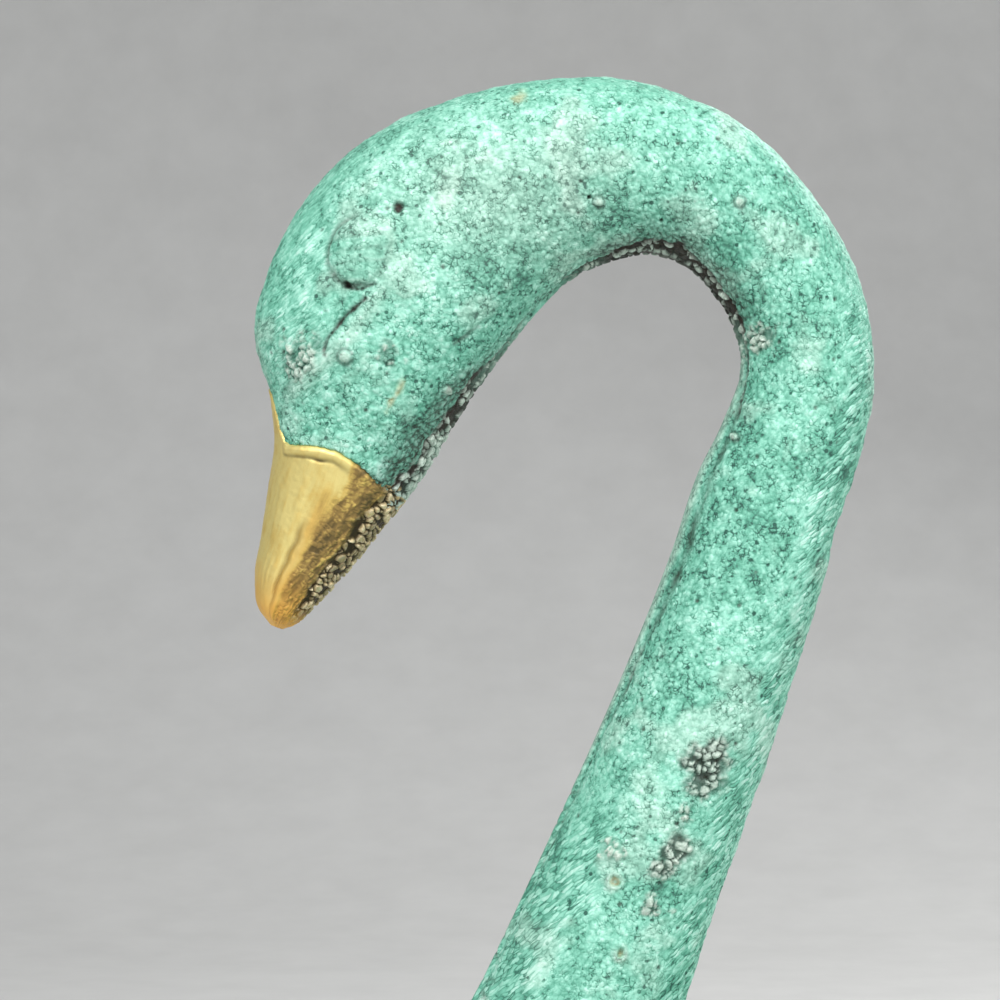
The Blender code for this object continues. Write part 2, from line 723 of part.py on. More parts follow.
def make_screws(finish):
    for name, (point, out, wall, bite) in screw_places().items():
        seat = wall - SPOT_FACE_DEPTH + CLEARANCE
        top = point - out * (seat + SCREW_HEAD_HEIGHT)
        head = rod(top, point - out * seat, SCREW_HEAD_RADIUS, BOSS_SEGMENTS)
        shank_start = point - out * (seat + SCREW_HEAD_HEIGHT / 2)
        shank = rod(shank_start, point + out * bite, SCREW_RADIUS, SCREW_SEGMENTS)
        label = "tail_screw" if name == "tail" else name.replace("wing_", "wing_screw_")
        combine(add_part(label, head, finish), add_cutter(f"shank_{name}", shank), "UNION")


def make_tail(finish):
    outwards = np.array([0.0, 0.0, 1.0])
    along = np.linspace(*TAIL_PLATE, 6)
    across = np.linspace(0.0, 1.0, 7)
    root = plate(tail_surface, outwards, TAIL_THICKNESS, along, across)
    tail = add_part("tail_fan", loft(root), finish)
    blades = []
    for place in range(TAIL_FEATHERS):
        offset = 2 * place / (TAIL_FEATHERS - 1) - 1
        tip = 1.0 - TAIL_ROUNDING * offset**2
        lift = TAIL_FEATHER_LIFT - TAIL_EDGE_DROP * abs(offset)
        tilt = -FEATHER_TILT * np.sign(offset)
        blades.append(loft(feather(
            tail_surface, outwards, TAIL_FEATHER_START, tip, place, TAIL_FEATHERS, TAIL_THICKNESS, lift, tilt
        )))
    combine(tail, add_cutter("tail_feathers", joined(blades, "feathers")), "UNION", use_self=True)
    combine(tail, BODY_CLEARANCE, "DIFFERENCE")
    combine(tail, SCREW_HOLES["tail"], "DIFFERENCE")


def base_plane():
    return FELT_THICKNESS + CLEARANCE


def make_body_half(name, side, finish):
    label = "left" if side < 0 else "right"
    shell = add_part(name, loft(skin_rings(side, 0.0)), finish)
    combine(shell, BODY_CAVITY, "DIFFERENCE")
    combine(shell, GROUND, "DIFFERENCE")
    combine(shell, STUD_HOLE, "DIFFERENCE")
    for key in (f"wing_{label}_front", f"wing_{label}_rear", "tail"):
        combine(shell, SCREW_HOLES[key], "DIFFERENCE")
        combine(shell, SPOT_FACES[key], "DIFFERENCE")
    return shell


def body_edge(z):
    """Outline of the body in the plane at height z, as (x, half width) from breast to rump."""
    edge = []
    for xi in np.linspace(-0.99, 0.99, EDGE_STEPS):
        width, spine, _, drop = body_shape(xi)
        share = (spine - z) / drop
        if share < 1:
            half = width * (1 - share**BODY_SQUARE) ** (1 / BODY_SQUARE)
            edge.append((BODY_CENTRE_X + xi * BODY_LENGTH / 2, half))
    return edge


def make_felt(finish):
    edge = body_edge(base_plane())
    edge_x, edge_y = np.array(edge).T
    middle = (edge_x[0] + edge_x[-1]) / 2
    reach = (edge_x[-1] - edge_x[0]) / 2
    narrower = 1 - FELT_MARGIN / edge_y.max()
    curve = bpy.data.curves.new("base_felt", "CURVE")
    curve.dimensions = "2D"
    curve.fill_mode = "BOTH"
    curve.extrude = FELT_THICKNESS / 2 * MM
    spline = curve.splines.new("POLY")
    turns = (np.arange(FELT_POINTS) + 0.5) * 2 * math.pi / FELT_POINTS
    spline.points.add(FELT_POINTS - 1)
    for point, turn in zip(spline.points, turns):
        x = middle + reach * math.cos(turn)
        y = np.interp(x, edge_x, edge_y) * narrower * np.sign(math.sin(turn))
        x = middle + (x - middle) * (1 - FELT_MARGIN / reach)
        point.co = (x * MM, y * MM, 0.0, 1.0)
    spline.use_cyclic_u = True
    felt = bpy.data.objects.new("base_felt", curve)
    felt.location.z = FELT_THICKNESS / 2 * MM
    curve.materials.append(finish)
    PARTS.objects.link(felt)


clear_scene()
PARTS = collection("brass_swan_figurine")
CUTTERS = collection("cutters")
SCREW_HOLES = {}
SPOT_FACES = {}
BOSSES = {}

NECK_PROFILE = placed(NECK_DRAWING)
BILL_PROFILE = placed(BILL_DRAWING)

VERDIGRIS = material("verdigris_brass", (0.20, 0.52, 0.40), 0.55, 0.1)
BARE_BRASS = material("bare_brass", (0.66, 0.45, 0.14), 0.35, 1.0)
STEEL = material("plated_steel", (0.45, 0.44, 0.42), 0.4, 1.0)
FELT = material("green_felt", (0.05, 0.09, 0.06), 0.95, 0.0)

BODY_CLEARANCE = add_cutter("body_clearance", loft(skin_rings(0, -CLEARANCE)))
BODY_CAVITY = add_cutter("body_cavity", loft(cavity_rings()))
PLUG_CENTRE, STUD_DOWN = stud_line()
BOSS_SEAT = body_surface_along(PLUG_CENTRE, STUD_DOWN) + WALL + STUD_BOSS_HEIGHT
NUT_WELL_END = BOSS_SEAT + WASHER_THICKNESS + NUT_THICKNESS + STUD_END + 3 * CLEARANCE
BOSS = add_cutter("neck_boss", stud_rod(0.0, BOSS_SEAT, STUD_BOSS_RADIUS))
NUT_WELL = add_cutter("nut_well", stud_rod(BOSS_SEAT, NUT_WELL_END, WASHER_RADIUS + CLEARANCE))
combine(BODY_CAVITY, BOSS, "DIFFERENCE")
combine(BODY_CAVITY, NUT_WELL, "UNION")
STUD_HOLE = add_cutter(
    "stud_hole",
    stud_rod(-PLUG_THICKNESS * 2, BOSS_SEAT + STUD_HOLE_REACH, STUD_RADIUS + CLEARANCE),
)
GROUND = add_cutter(
    "ground", rod((BODY_CENTRE_X, 0, -GROUND_DEPTH), (BODY_CENTRE_X, 0, base_plane()), BODY_LENGTH, 8)
)
add_screw_cutters()

neck_half("neck_left_shell", -1, VERDIGRIS)
neck_half("neck_right_shell", 1, VERDIGRIS)
make_bill(BARE_BRASS)
make_neck_fixing(STEEL)
make_body_half("body_left_shell", -1, VERDIGRIS)
make_body_half("body_right_shell", 1, VERDIGRIS)
make_wing("wing_left", -1, VERDIGRIS)
make_wing("wing_right", 1, VERDIGRIS)
make_tail(VERDIGRIS)
make_screws(STEEL)
make_felt(FELT)
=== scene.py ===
"""Looks of the brass swan figurine, around its solids: stippled green castings and a bare brass bill."""

import itertools
import math

import bpy
import numpy as np
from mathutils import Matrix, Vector


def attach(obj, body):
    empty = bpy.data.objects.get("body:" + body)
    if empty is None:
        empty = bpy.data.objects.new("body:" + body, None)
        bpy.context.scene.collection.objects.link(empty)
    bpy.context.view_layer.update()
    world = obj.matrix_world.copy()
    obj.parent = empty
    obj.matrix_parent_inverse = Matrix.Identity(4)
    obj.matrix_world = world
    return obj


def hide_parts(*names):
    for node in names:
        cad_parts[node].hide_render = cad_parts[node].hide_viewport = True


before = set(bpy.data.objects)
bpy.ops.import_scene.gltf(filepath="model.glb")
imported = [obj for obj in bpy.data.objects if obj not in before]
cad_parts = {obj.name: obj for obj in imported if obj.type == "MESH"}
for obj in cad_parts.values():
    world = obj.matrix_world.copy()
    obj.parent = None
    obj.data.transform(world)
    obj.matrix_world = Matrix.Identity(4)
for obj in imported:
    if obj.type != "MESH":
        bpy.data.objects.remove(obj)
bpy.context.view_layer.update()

MM = 0.001

# Sizes in millimetres, as in the solids
WALL = 3.0
NECK_SQUARE = 2.1
BILL_SQUARE = 2.2
BODY_LENGTH = 160.0
BODY_WIDTH = 82.0
BODY_CENTRE_X = 8.5
SPINE_HEIGHT = 34.0
BACK_HEIGHT = 64.0
KEEL_DEPTH = 6.0
RUMP_LIFT = 12.0
BODY_SQUARE = 2.2
BODY_REACH = 0.995
BODY_SEGMENTS = 14
PLUMAGE_ROW = 11.0
PLUMAGE_ROWS = 11
PLUMAGE_RELIEF = 1.5
PLUMAGE_SCALLOP = 3.0
PLUMAGE_MARGIN = 6.0
PLUMAGE_HALF_WIDTH = 8.0
BREAST_CAP = 11.0
BASE_PLANE = 2.3
SHELL_FLOOR = 0.6
LEAST_INNER = 0.3

# How the skins meet: at the centre plane, round the neck's foot, at the body's ends and on the head
SEAM = 0.01
FILLET = 14.0
FOOT_SHARE = 0.3
END_SHARES = (0.02, 0.35, 0.7, 0.9)
END_BULGE = 0.35
INNER_END_STEP = 0.2
HEAD_END_SHARE = 0.975
HEAD_OVERLAP_FROM = 0.2
HEAD_OVERLAP = 2.4

# Ventral x, z, dorsal x, z and width of the neck, from its foot to the bill
NECK_PROFILE = np.array([
    (-58.0, 42.0, -28.0, 47.0, 32.0),
    (-64.6, 58.0, -32.0, 58.0, 31.0),
    (-61.6, 71.0, -35.0, 66.5, 27.0),
    (-54.8, 84.8, -31.8, 77.0, 24.0),
    (-46.0, 103.5, -25.5, 96.5, 21.5),
    (-38.1, 121.2, -19.2, 114.5, 20.0),
    (-31.6, 137.5, -13.9, 131.4, 18.8),
    (-28.5, 146.8, -11.2, 141.2, 17.8),
    (-25.4, 153.2, -8.2, 150.4, 17.0),
    (-23.1, 160.4, -7.0, 160.4, 16.6),
    (-24.8, 166.8, -8.6, 170.8, 16.8),
    (-27.9, 171.2, -12.2, 178.4, 17.2),
    (-31.2, 173.7, -19.4, 187.4, 18.2),
    (-35.0, 174.6, -28.8, 193.5, 19.4),
    (-39.8, 173.8, -40.6, 196.4, 20.8),
    (-44.6, 171.6, -53.5, 195.3, 22.4),
    (-48.6, 168.0, -66.0, 191.1, 23.8),
    (-52.9, 162.6, -75.4, 184.0, 24.6),
    (-57.4, 156.4, -82.2, 172.6, 23.0),
    (-60.6, 151.2, -83.9, 164.4, 20.0),
    (-62.6, 147.7, -82.1, 156.6, 16.6),
    (-64.9, 144.4, -81.6, 152.1, 15.0),
])
BILL_PROFILE = np.array([
    (-65.6, 143.4, -81.6, 151.0, 14.6),
    (-69.2, 139.0, -82.2, 146.2, 12.8),
    (-72.9, 134.5, -83.2, 139.4, 11.4),
    (-76.6, 130.6, -84.0, 133.8, 9.8),
    (-79.1, 128.3, -83.4, 130.0, 6.6),
    (-80.6, 127.6, -82.2, 128.2, 2.4),
])

# Wing edges from the shoulder to the tip: lower x, z and inset, upper x, z and inset, and the crown
WING_EDGES = np.array([
    (-44.0, 36.0, 16.0, -42.0, 45.0, 18.0, 1.0),
    (-34.0, 25.0, 7.0, -31.0, 54.0, 14.0, 4.0),
    (-12.0, 18.0, 2.0, -10.0, 61.0, 13.0, 5.0),
    (22.0, 19.0, 1.0, 20.0, 67.0, 14.0, 5.0),
    (56.0, 29.0, 8.0, 54.0, 72.0, 18.0, 4.0),
    (86.0, 47.0, 19.0, 84.0, 75.0, 25.0, 2.5),
    (108.0, 66.0, 29.0, 108.0, 76.0, 31.0, 1.0),
])
WING_REACH = BODY_WIDTH / 2 + 3.2
WING_THICKNESS = 3.6
# Feather tiers: count, start and end along the wing, lift, and how far the ends slope
FEATHER_TIERS = (
    (7, 0.34, 0.80, 0.78, 0.22),
    (6, 0.20, 0.52, 1.50, 0.06),
    (5, 0.05, 0.31, 2.21, 0.02),
)
FEATHER_TIP_FROM = 0.7
FEATHER_FULL_FROM = 0.5
FEATHER_OVERLAP = 0.62
FEATHER_ROOT_WIDTH = 0.8
FEATHER_ROOT_LIFT = 0.35
FEATHER_CROWN = 0.35
FEATHER_TILT = 0.45
TAIL_LENGTH = 38.0
TAIL_ROOT_WIDTH = 26.0
TAIL_TIP_WIDTH = 56.0
TAIL_THICKNESS = 4.0
TAIL_ROOT_DEPTH = 8.0
TAIL_FEATHERS = 7
TAIL_FEATHER_START = 0.12
TAIL_ROUNDING = 0.22
TAIL_FEATHER_LIFT = 1.2
TAIL_EDGE_DROP = 0.9
# Ends of the blind screw holes in a wing: x, z and distance from the centre plane
SCREW_HOLE_ENDS = ((-14.0, 36.0, 43.41), (34.0, 38.0, 42.57))
SCREW_HOLE_RADIUS = 2.0
SCREW_HOLE_FILL = 0.9
BARB_SPACING = 1.9
BARB_SLANT = 1.25
FELT_UPPER_FACE = 1.0
FELT_NAP = 0.06

# How finely the skins are divided
NECK_ROWS = 960
NECK_COLUMNS = 176
FOOT_ROWS = 60
HEAD_END_ROWS = 26
BILL_ROWS = 260
BILL_COLUMNS = 130
BODY_ROWS = 430
BODY_COLUMNS = 260
INNER_COLUMNS = 8
WING_STATIONS = 301
WING_PLACE_STEPS = 4
WING_VOXEL = 0.42
TAIL_VOXEL = 0.40
FELT_VOXEL = 0.8

# Places on the side of the head and neck, as x and z
EYE = (-70.5, 174.1)
EYE_LEAN = math.radians(32.0)
EYE_HALF_LENGTH = 4.3
EYE_HALF_WIDTH = 3.7
EYE_HEIGHT = 1.0
LID_LINE = ((-74.4, 175.0), (-71.0, 175.6), (-67.0, 175.9))
LID_FOLDS = 3
LID_FOLD_STEP = -1.5
LOWER_LID = ((-72.4, 169.6), (-70.6, 169.3), (-68.6, 170.0))
LORE = ((-69.9, 168.2), (-72.2, 166.2), (-74.5, 163.4), (-75.0, 162.0))
LORE_TRAIL = ((-75.0, 162.0), (-77.6, 160.0), (-79.6, 157.6))
THROAT_CRACK = ((-56.2, 165.0), (-59.0, 162.7))
PIT_TRAIL = ((-28.8, 109.4), (-30.6, 105.5), (-32.6, 101.6), (-33.8, 97.6), (-34.9, 92.6))
CHEEK_RIDGE = ((-66.5, 171.0), (-72.0, 163.5), (-79.6, 156.6))
CHEEK = (-67.0, 164.0)
CHEEK_RADIUS = 8.0
# The pale crown is partly pale verdigris and partly a painted highlight where the light from above falls.
PALE_CROWN = (-54.0, 181.0)
PALE_CROWN_RADIUS = 9.0
PALE_CROWN_STRETCH = 1.5
# Small pale nodules and dark pits on the left side: x, z and radius
NODULES = (
    (-72.3, 161.2, 0.8),
    (-41.4, 180.1, 0.6),
    (-24.2, 180.2, 0.65),
    (-60.0, 157.2, 0.6),
    (-24.6, 151.6, 0.5),
)
DARK_PITS = (
    (-65.9, 179.3, 0.75),
    (-72.2, 170.0, 0.45),
    (-42.6, 180.6, 0.3),
)
# Clusters of crumbs: x, z, radius, and how dark the hollow between the crumbs is
PIT_CLUSTERS = (
    (-28.2, 112.0, 3.0, 0.9),
    (-28.6, 109.4, 2.5, 0.8),
    (-30.6, 105.6, 1.2, 0.35),
    (-32.4, 101.4, 2.3, 0.8),
    (-33.6, 98.6, 1.7, 0.75),
    (-34.7, 94.0, 1.5, 0.6),
    (-40.0, 100.6, 1.3, 0.2),
    (-21.0, 163.8, 1.7, 0.6),
    (-77.6, 161.6, 2.4, 0.4),
    (-67.0, 161.6, 1.5, 0.35),
)
CRATERS = ((-39.5, 97.3), (-38.9, 88.7))
# Small gold scratches: start, end and half width
GOLD_MARKS = (((-67.4, 154.6), (-65.2, 158.2), 0.35), ((-51.4, 193.0), (-50.8, 193.4), 0.6))
# The seam at numbered rows of the neck's profile: half width in degrees from the ventral edge, and
# how far it is torn open into dark granules there
SEAM_STATIONS = (
    (0, 8.0, 0.0),
    (4, 10.0, 0.0),
    (5, 18.0, 0.0),
    (6, 31.0, 0.0),
    (8, 28.0, 0.0),
    (9, 17.0, 0.3),
    (10, 26.0, 1.0),
    (12, 34.0, 1.0),
    (13, 30.0, 1.0),
    (14, 20.0, 1.0),
    (15, 10.0, 0.5),
    (16, 9.0, 0.0),
    (17, 12.0, 0.6),
    (18, 23.0, 1.0),
    (19, 30.0, 1.0),
    (20, 37.0, 1.0),
    (21, 44.0, 1.0),
)
# Edge of the bill on the head: degrees from the ventral edge, and millimetres below the joint
BILL_EDGE = (
    (0.0, 0.6),
    (50.0, 0.6),
    (58.0, 0.45),
    (66.0, -0.2),
    (77.0, -0.8),
    (93.0, -1.25),
    (115.0, -0.4),
    (136.0, 0.6),
    (143.0, 0.6),
    (149.0, -0.4),
    (158.0, -2.4),
    (168.0, -4.2),
    (180.0, -5.0),
)
# Size of the seam's crumbs, and the degrees from the ventral edge within which they run on to the bill
CRUMB_SIZE = 1.05
CRUMB_EDGE = 40.0
# Slants of the brush strokes on the neck, the body and the bill
STROKE_SLANT = math.radians(38.0)
BODY_STROKE_SLANT = math.radians(-12.0)
BILL_SLANT = math.radians(68.0)
# Marks that the neck's skin keeps for its material
NECK_MARKS = ("relief", "stroked", "wash_and_highlight", "dark", "glint", "gold", "smooth")

# Seeds that the noise on the wings and the tail starts from, and the start of the noise's lattice
WING_SEED = 171
TAIL_SEED = 181
LATTICE_START = 1000.0

# The studio, with lengths in metres: the floor and its backdrop, the lamps (place, size and power), the
# sky and the camera's view
FLOOR_HALF_WIDTH = 8.0
BACKDROP_DISTANCE = 1.1
BACKDROP_HEIGHT = 1.6
BACKDROP_BEND = 0.5
BACKDROP_STEPS = 17
LAMPS = (
    ("key", (-0.25, -0.55, 0.70), 0.45, 6.5),
    ("fill", (0.60, -0.45, 0.45), 0.60, 3.4),
    ("rim", (0.35, 0.55, 0.55), 0.40, 3.0),
)
LAMP_AIM = (-0.045, 0.0, 0.14)
SKY_COLOUR = (0.95, 0.97, 1.0, 1.0)
SKY_STRENGTH = 0.32
VIEW_DISTANCE = 0.40
VIEW_WIDTH = 0.125
VIEW_CENTRE = (-0.0535, 0.14375)


def linear(red, green, blue):
    """A colour given as screen values from 0 to 255, in linear light."""
    parts = np.array([red, green, blue]) / 255.0
    lit = np.where(parts <= 0.04045, parts / 12.92, ((parts + 0.055) / 1.055) ** 2.4)
    return (*lit.tolist(), 1.0)


def unit(value):
    return np.clip(value, 0.0, 1.0)


def ease(low, high, value):
    share = unit((value - low) / (high - low))
    return share * share * (3 - 2 * share)


def hump(distance, radius):
    return np.exp(-((distance / radius) ** 2))


def bent(value, power):
    return np.sign(value) * np.abs(value) ** power


def scrambled(ix, iy, iz, seed):
    """An even spread of numbers from 0 to 1, one for each lattice point."""
    mask = np.uint64(0xFFFFFFFF)
    mixed = (
        ix.astype(np.uint64) * np.uint64(374761393)
        + iy.astype(np.uint64) * np.uint64(668265263)
        + iz.astype(np.uint64) * np.uint64(2246822519)
        + np.uint64(seed * 3266489917)
    ) & mask
    mixed = ((mixed ^ (mixed >> np.uint64(15))) * np.uint64(2246822519)) & mask
    mixed = ((mixed ^ (mixed >> np.uint64(13))) * np.uint64(3266489917)) & mask
    mixed = mixed ^ (mixed >> np.uint64(16))
    return mixed.astype(np.float64) / 2.0**32


def noise(points, size, seed):
    """Smooth noise from -1 to 1 with lumps of the given size in millimetres."""
    place = points / size + LATTICE_START
    corner = np.floor(place).astype(np.int64)
    share = place - corner
    share = share * share * (3 - 2 * share)
    total = np.zeros(len(points))
    for step in itertools.product((0, 1), repeat=3):
        near = np.abs(1 - np.array(step) - share)
        total += near[:, 0] * near[:, 1] * near[:, 2] * scrambled(*(corner + step).T, seed)
    return total * 2 - 1


def layered(points, size, seed, layers=3):
    return sum(noise(points, size / 2**k, seed + k) * 0.55**k for k in range(layers))


def wander(points, size, seed):
    return np.column_stack([noise(points, size, seed + k) for k in range(3)])


def stroke_noise(points, slant, length, width, seed):
    """Noise drawn out along a slant in the x-z plane."""
    x, y, z = points.T
    along = x * math.cos(slant) + z * math.sin(slant)
    across = z * math.cos(slant) - x * math.sin(slant)
    return noise(np.column_stack([along / length, across / width, y / (2 * width)]), 1.0, seed)


def cells(points, size, seed):
    """Distance to the nearest and the second nearest grain, in grain sizes, and the grain's own number."""
    place = points / size + LATTICE_START
    home = np.floor(place).astype(np.int64)
    first = np.full(len(points), 9.0)
    second = np.full(len(points), 9.0)
    number = np.zeros(len(points))
    for step in itertools.product((-1, 0, 1), repeat=3):
        cell = home + step
        spot = np.column_stack([scrambled(*cell.T, seed + k) for k in range(3)])
        away = np.linalg.norm(cell + spot - place, axis=1)
        nearer = away < first
        second = np.where(nearer, first, np.minimum(second, away))
        number = np.where(nearer, spot[:, 0], number)
        first = np.where(nearer, away, first)
    return first, second, number


def stipple(points, seed=3):
    """Height of the cast grain from 0 in its thin crevices to 1 on its grains."""
    first, second, number = cells(points + wander(points, 1.0, seed + 40) * 0.4, 0.75, seed)
    lines = ease(0.0, 0.30, second - first)
    domes = ease(0.95, 0.15, first) * (0.5 + 0.5 * number)
    return unit(0.5 * lines + 0.4 * domes + 0.12 * (noise(points, 0.5, seed + 9) + 1))


def small_pits(points, seed):
    """Scattered pinholes of the casting, from 0 to 1."""
    first, _, number = cells(points, 2.4, seed)
    return ease(0.16, 0.06, first) * (number > 0.62)


def granules(points, size, seed):
    """Angular crumbs with dark gaps: their height from 0 to 1, and a number of their own."""
    first, second, number = cells(points + wander(points, 0.9 * size, seed + 40) * 0.3 * size, size, seed)
    tall = ease(0.02, 0.30, second - first) * (0.45 + 0.55 * number)
    return tall * (number > 0.14), number


def away_from_line(x, z, line):
    """Distance in the x-z plane to a line of straight stretches."""
    nearest = np.full(x.shape, 1e9)
    for (ax, az), (bx, bz) in zip(line, line[1:]):
        run = (bx - ax) ** 2 + (bz - az) ** 2
        share = unit(((x - ax) * (bx - ax) + (z - az) * (bz - az)) / run)
        gap = np.hypot(x - ax - share * (bx - ax), z - az - share * (bz - az))
        nearest = np.minimum(nearest, gap)
    return nearest


def smooth_rows(knots, distance, wanted):
    """Rows between the knots, on a smooth curve through them."""
    slopes = np.gradient(knots, distance, axis=0)
    index = np.clip(np.searchsorted(distance, wanted, side="right") - 1, 0, len(distance) - 2)
    span = (distance[index + 1] - distance[index])[:, None]
    u = (wanted - distance[index])[:, None] / span
    return (
        (2 * u**3 - 3 * u**2 + 1) * knots[index]
        + (u**3 - 2 * u**2 + u) * span * slopes[index]
        + (3 * u**2 - 2 * u**3) * knots[index + 1]
        + (u**3 - u**2) * span * slopes[index + 1]
    )


def distances(profile):
    """Distance along the middle of a profile at each of its rows."""
    middle = (profile[:, 0:2] + profile[:, 2:4]) / 2
    return np.concatenate([[0.0], np.cumsum(np.linalg.norm(np.diff(middle, axis=0), axis=1))])


def profile_rows(profile, count, first=0.0, last=1.0):
    distance = distances(profile)
    return smooth_rows(profile, distance, np.linspace(first, last, count) * distance[-1])


def half_turn(columns, square):
    """Sine and cosine from the lowest to the highest point of one side of a squared-off round section."""
    angles = np.radians(np.linspace(-90.0, 90.0, columns + 1))
    up = bent(np.sin(angles), 2 / square)
    out = bent(np.maximum(np.cos(angles), 0.0), 2 / square)
    return up[None, :], out[None, :]


def half_sections(rows, side, columns, inset=0.0, square=NECK_SQUARE):
    """Points of one side of every section, from the ventral to the dorsal edge."""
    ventral, dorsal = rows[:, 0:2], rows[:, 2:4]
    middle = (ventral + dorsal) / 2
    reach = np.linalg.norm(dorsal - ventral, axis=1) / 2
    axis = (dorsal - ventral) / (2 * reach)[:, None]
    up, out = half_turn(columns, square)
    along = (reach - inset)[:, None] * up
    across = np.maximum(rows[:, 4] / 2 - inset, 1.0)[:, None] * out
    flat = middle[:, None, :] + along[:, :, None] * axis[:, None, :]
    return np.stack([flat[:, :, 0], side * np.maximum(across, SEAM), flat[:, :, 1]], axis=2)


def normals_of(grid, side):
    """Outward normals of a grid of points on one side of the swan."""
    normal = np.cross(np.gradient(grid, axis=0), np.gradient(grid, axis=1))
    normal /= np.maximum(np.linalg.norm(normal, axis=2, keepdims=True), 1e-12)
    middle = normal[grid.shape[0] // 2, grid.shape[1] // 2]
    if middle[1] * side < 0:
        normal = -normal
    normal[:, [0, -1], 1] = 0.0
    return normal


def mesh_points(mesh):
    """The mesh's points in its own unit."""
    points = np.empty(len(mesh.vertices) * 3)
    mesh.vertices.foreach_get("co", points)
    return points.reshape(-1, 3)


def move_points(mesh, points):
    """Moves the mesh's points to places given in millimetres."""
    mesh.vertices.foreach_set("co", (points * MM).reshape(-1))
    mesh.update()


def face_out(mesh):
    """Turns the faces over where the mesh is inside out."""
    mesh.calc_loop_triangles()
    corners = np.empty(len(mesh.loop_triangles) * 3, np.int32)
    mesh.loop_triangles.foreach_get("vertices", corners)
    points = mesh_points(mesh)[corners.reshape(-1, 3)]
    volume = np.einsum("ij,ij->i", points[:, 0], np.cross(points[:, 1], points[:, 2])).sum()
    if volume < 0:
        mesh.flip_normals()


def skin_mesh(name, rings):
    """A closed mesh through rings of points in millimetres."""
    count, around, _ = rings.shape
    index = np.arange(count * around).reshape(count, around)
    following = np.roll(index, -1, axis=1)
    quads = np.stack([index[:-1], following[:-1], following[1:], index[1:]], axis=2).reshape(-1, 4)
    faces = [*quads.tolist(), index[0][::-1].tolist(), index[-1].tolist()]
    mesh = bpy.data.meshes.new(name)
    mesh.from_pydata((rings.reshape(-1, 3) * MM).tolist(), [], faces)
    mesh.update()
    face_out(mesh)
    mesh.shade_smooth()
    return mesh


def set_marks(mesh, marks):
    """Keeps each mark as a number on every vertex, for the material to read."""
    for name, values in marks.items():
        layer = mesh.attributes.new(name, "FLOAT", "POINT")
        layer.data.foreach_set("value", unit(values).astype(np.float32))


def add_piece(name, mesh, finish, slot, *nodes):
    piece = bpy.data.objects.new(name, mesh)
    bpy.context.scene.collection.objects.link(piece)
    mesh.materials.clear()
    mesh.materials.append(finish)
    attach(piece, "root")
    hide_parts(*nodes)
    return piece


def shell_piece(name, outer, inner, marks, finish):
    """One half of a hollow casting, from its outer and inner rows of points, with marks on its outside."""
    rings = np.concatenate([outer, inner[:, ::-1]], axis=1)
    mesh = skin_mesh(name, rings)
    whole = {}
    for mark, values in marks.items():
        grid = np.zeros(rings.shape[:2])
        grid[:, : outer.shape[1]] = values.reshape(outer.shape[:2])
        whole[mark] = grid.reshape(-1)
    set_marks(mesh, whole)
    return add_piece(name, mesh, finish, "verdigris_brass", name.replace("_skin", "_shell"))


class NeckSkin:
    """The points of one half of the neck, with their height in millimetres and their marks."""

    def __init__(self, grid, along):
        count, columns, _ = grid.shape
        self.points = grid.reshape(-1, 3)
        self.x, _, self.z = self.points.T
        self.angle = np.tile(np.linspace(0.0, 180.0, columns), count)
        self.from_dorsal = 180.0 - self.angle
        self.along = np.repeat(along, columns)
        self.patchy = layered(self.points, 5.0, 11)
        self.fine = layered(self.points, 1.6, 21, 2)
        self.ragged = noise(self.points, 1.2, 92)
        self.grain = stipple(self.points)
        self.height = np.zeros(len(self.points))
        self.marks = {mark: np.zeros(len(self.points)) for mark in NECK_MARKS}

    def mark(self, name, values):
        """Raises a mark where the new values are higher."""
        self.marks[name] = np.maximum(self.marks[name], values)


def brush_and_grain(skin):
    """The cast grain, with brush strokes on the back and the foot of the neck and on the brow."""
    x, z, angle, from_dorsal, patchy = skin.x, skin.z, skin.angle, skin.from_dorsal, skin.patchy
    pinholes = small_pits(skin.points, 23)
    smooth = (1 - ease(24.0, 40.0, from_dorsal + patchy * 9)) * ease(95.0, 130.0, z)
    low_dorsal = ease(178.0, 160.0, z) * (x > -45.0) * ease(70.0, 40.0, from_dorsal + 14 * patchy)
    low_ventral = ease(112.0, 98.0, z) * ease(80.0, 52.0, angle + 12 * patchy)
    low_all = ease(86.0, 74.0, z)
    brow = 0.6 * ease(-70.0, -78.0, x + 2 * patchy) * ease(152.0, 160.0, z)
    stroked = np.maximum(np.maximum(low_dorsal, low_ventral), np.maximum(low_all, brow))
    ridges = 0.65 * (1 - np.abs(stroke_noise(skin.points, STROKE_SLANT, 2.2, 0.55, 31)))
    ridges = ridges + 0.35 * (1 - np.abs(stroke_noise(skin.points, STROKE_SLANT, 1.4, 0.36, 32)))

    # The underside of the upper neck and head is painted darker green: painted shade.
    shaded_underside = ease(95.0, 25.0, angle) * ease(110.0, 130.0, z)
    behind_bend = ease(-30.0, -20.0, x) * ease(135.0, 150.0, z) * ease(186.0, 172.0, z)
    relief = skin.grain * (1 - stroked) + ridges * stroked - 0.3 * shaded_underside
    relief -= 0.24 * behind_bend * ease(20.0, 55.0, from_dorsal)
    relief += 0.28 * hump(np.hypot(x - CHEEK[0], z - CHEEK[1]), CHEEK_RADIUS)
    skin.height = 0.17 * patchy + 0.07 * skin.fine - 0.28 * pinholes
    skin.height += 0.20 * (1 - 0.5 * smooth) * (skin.grain - 0.6) * (1 - 0.8 * stroked)
    skin.height += 0.22 * stroked * (ridges - 0.6)
    skin.marks.update(relief=relief, stroked=stroked, smooth=smooth, dark=0.8 * pinholes)


